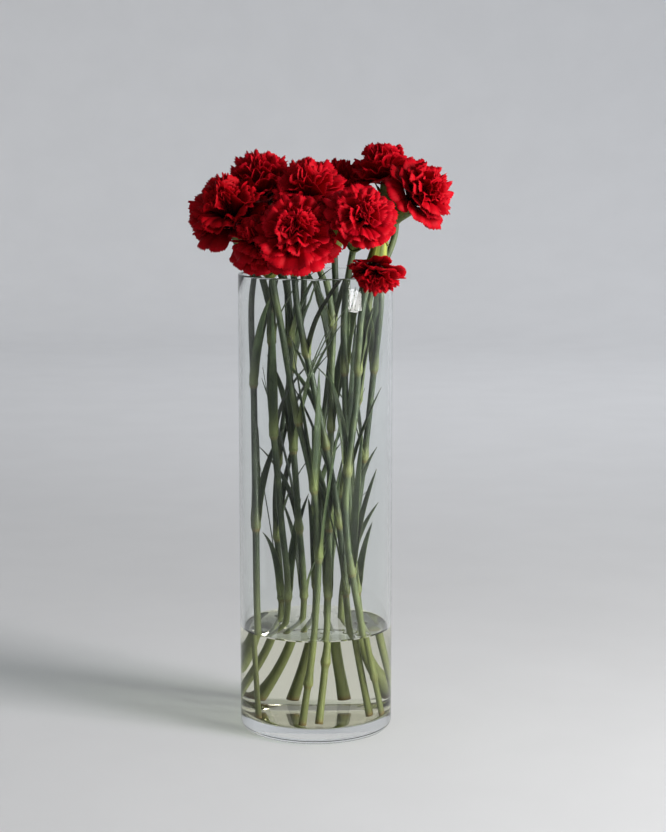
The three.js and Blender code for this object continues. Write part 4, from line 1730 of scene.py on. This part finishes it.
# The studio
@dataclass(frozen=True)
class SoftBox:
    """A soft rectangular lamp that isn't itself seen.

    Attributes:
        name: its name.
        place: where its middle stands.
        aim: the point it is turned to.
        size: its width and height.
        power: its power in watts.
        spread: the full angle that its grid lets light out in, in degrees.
        colour: its colour as sRGB hex.
    """

    name: str
    place: tuple[float, float, float]
    aim: tuple[float, float, float]
    size: tuple[float, float]
    power: float
    spread: float
    colour: str

    def build(self) -> bpy.types.Object:
        """Adds the lamp, turned to its aim."""
        data = bpy.data.lights.new(self.name, "AREA")
        data.shape = "RECTANGLE"
        data.size, data.size_y = self.size
        data.energy = self.power
        data.spread = math.radians(self.spread)
        data.color = linear(self.colour)[:3]
        lamp = bpy.data.objects.new(self.name, data)
        bpy.context.scene.collection.objects.link(lamp)
        lamp.location = self.place
        way = np.array(self.aim) - np.array(self.place)
        lamp.rotation_euler = (
            math.pi / 2 + math.atan2(way[2], math.hypot(way[0], way[1])),
            0,
            math.atan2(way[1], way[0]) - math.pi / 2,
        )
        lamp.visible_camera = False
        return lamp


@dataclass
class Studio:
    """A pale paper sweep all round, a soft box on the right, and lamps that light the sweep."""

    floor_radius: float = 2.3
    sweep_radius: float = 0.9
    wall_height: float = 1.7
    drop: float = 0.15 * MM
    least_radius: float = 0.02
    sides: int = 128
    key: SoftBox = SoftBox(
        "key", (1.15, -0.66, 0.615), (0, 0, 0.615), (0.5, 0.92), 17.6, 110, "fefcfa"
    )
    ring_count: int = 6
    ring_radius: float = 0.8
    ring_height: float = 2.4
    ring_aim: tuple[float, float] = (2.5, 0.1)
    ring_power: float = 7.2
    ring_lean: float = 0.85
    ring_turn: float = 0.6
    ring_spread: float = 95
    ring_size: tuple[float, float] = (0.6, 0.3)
    ring_colour: str = "fafbff"
    sky: str = "e8eaee"
    sky_strength: float = 0.3

    def sweep(self) -> bpy.types.Object:
        """A floor that curves up into a wall on every side."""
        corner = arc(
            (self.floor_radius, self.sweep_radius - self.drop), self.sweep_radius, -90, 0, 24
        )
        flat = out_at(-self.drop, np.linspace(self.least_radius, self.floor_radius, 20)[:-1])
        top = [[self.floor_radius + self.sweep_radius, self.wall_height]]
        rings = turned_rings(np.concatenate([flat, corner, top]), self.sides)[:, ::-1]
        count, around = rings.shape[:2]
        points = np.concatenate([rings.reshape(-1, 3), [[0, 0, -self.drop]]])
        faces = np.concatenate(
            [grid_faces(count, around, closed=True), fan(count * around, np.arange(around)[::-1])]
        )
        patch = Patch(points, faces, np.zeros(points.shape))
        floor = make_object("studio_sweep", [patch], [SweepPaper().material()])
        return floor

    def ring(self) -> list[SoftBox]:
        """Lamps above the vase that face away from it, each towards its part of the sweep."""
        boxes = []
        for number in range(self.ring_count):
            turn = 2 * math.pi * (number + 0.5) / self.ring_count - self.ring_turn
            across, along = math.cos(turn), math.sin(turn)
            place = (self.ring_radius * across, self.ring_radius * along, self.ring_height)
            aim = (self.ring_aim[0] * across, self.ring_aim[0] * along, self.ring_aim[1])
            name = f"sweep_lamp_{number + 1}"
            power = self.ring_power * (1 + self.ring_lean * across)
            look = (self.ring_size, power, self.ring_spread, self.ring_colour)
            boxes.append(SoftBox(name, place, aim, *look))
        return boxes

    def world(self) -> None:
        """An even sky for what the lamps don't reach."""
        world = bpy.data.worlds.new("soft_sky")
        world.use_nodes = True
        tree = world.node_tree
        tree.nodes.clear()
        even = {"Color": linear(self.sky), "Strength": self.sky_strength}
        sky = add_node(tree, "ShaderNodeBackground", even)
        add_node(tree, "ShaderNodeOutputWorld", {"Surface": sky.outputs["Background"]})
        bpy.context.scene.world = world

    def build(self) -> None:
        """Sets up the sweep, the lamps and the sky."""
        self.sweep()
        for box in [self.key, *self.ring()]:
            box.build()
        self.world()


@dataclass
class Viewpoint:
    """The photograph's camera, fitted to the vase's rim, walls, water line and base."""

    place: tuple[float, float, float] = (0.0113, -1.282, 0.398)
    pitch: float = 8.48
    focal_pixels: float = 1990
    image_height: int = 832
    sensor: float = 36.0

    def build(self) -> bpy.types.Object:
        """Adds the camera and makes it the scene's."""
        data = bpy.data.cameras.new("photograph_camera")
        data.sensor_fit = "AUTO"
        data.sensor_width = self.sensor
        data.lens = self.focal_pixels / self.image_height * self.sensor
        data.clip_start = 0.05
        camera = bpy.data.objects.new("photograph_camera", data)
        camera.location = self.place
        camera.rotation_euler = (math.radians(90 - self.pitch), 0, 0)
        bpy.context.scene.collection.objects.link(camera)
        bpy.context.scene.camera = camera
        return camera


def main() -> None:
    """Builds the camera, the studio and every piece."""
    logging.basicConfig(level=logging.INFO, format="%(message)s")
    bpy.context.scene.view_settings.view_transform = "Standard"
    Viewpoint().build()
    Studio().build()
    vase = Vase()
    vase.build(SodaLimeGlass())
    Water(vase).build(FLOWERS, TapWater())
    greens = [
        WaxyGreen("carnation_stem_skin", "1e2817", "3b4630", "66714a", "8b9058").material(),
        WaxyGreen("carnation_calyx_skin", "2e3612", "454f1c", "65702e", "96a048").material(),
        WaxyGreen("carnation_leaf_skin", "161f12", "2a3720", "4b593a", "727b46").material(),
    ]
    petals = [PetalVelvet().material()]
    leaves = LeafPlan().place(FLOWERS)
    log.info("%d leaves found room", len(leaves))
    for flower in FLOWERS:
        LeafyStem(flower, leaves).build(greens)
        Bloom(flower).build(FLOWERS, petals)


if __name__ == "__main__":
    main()
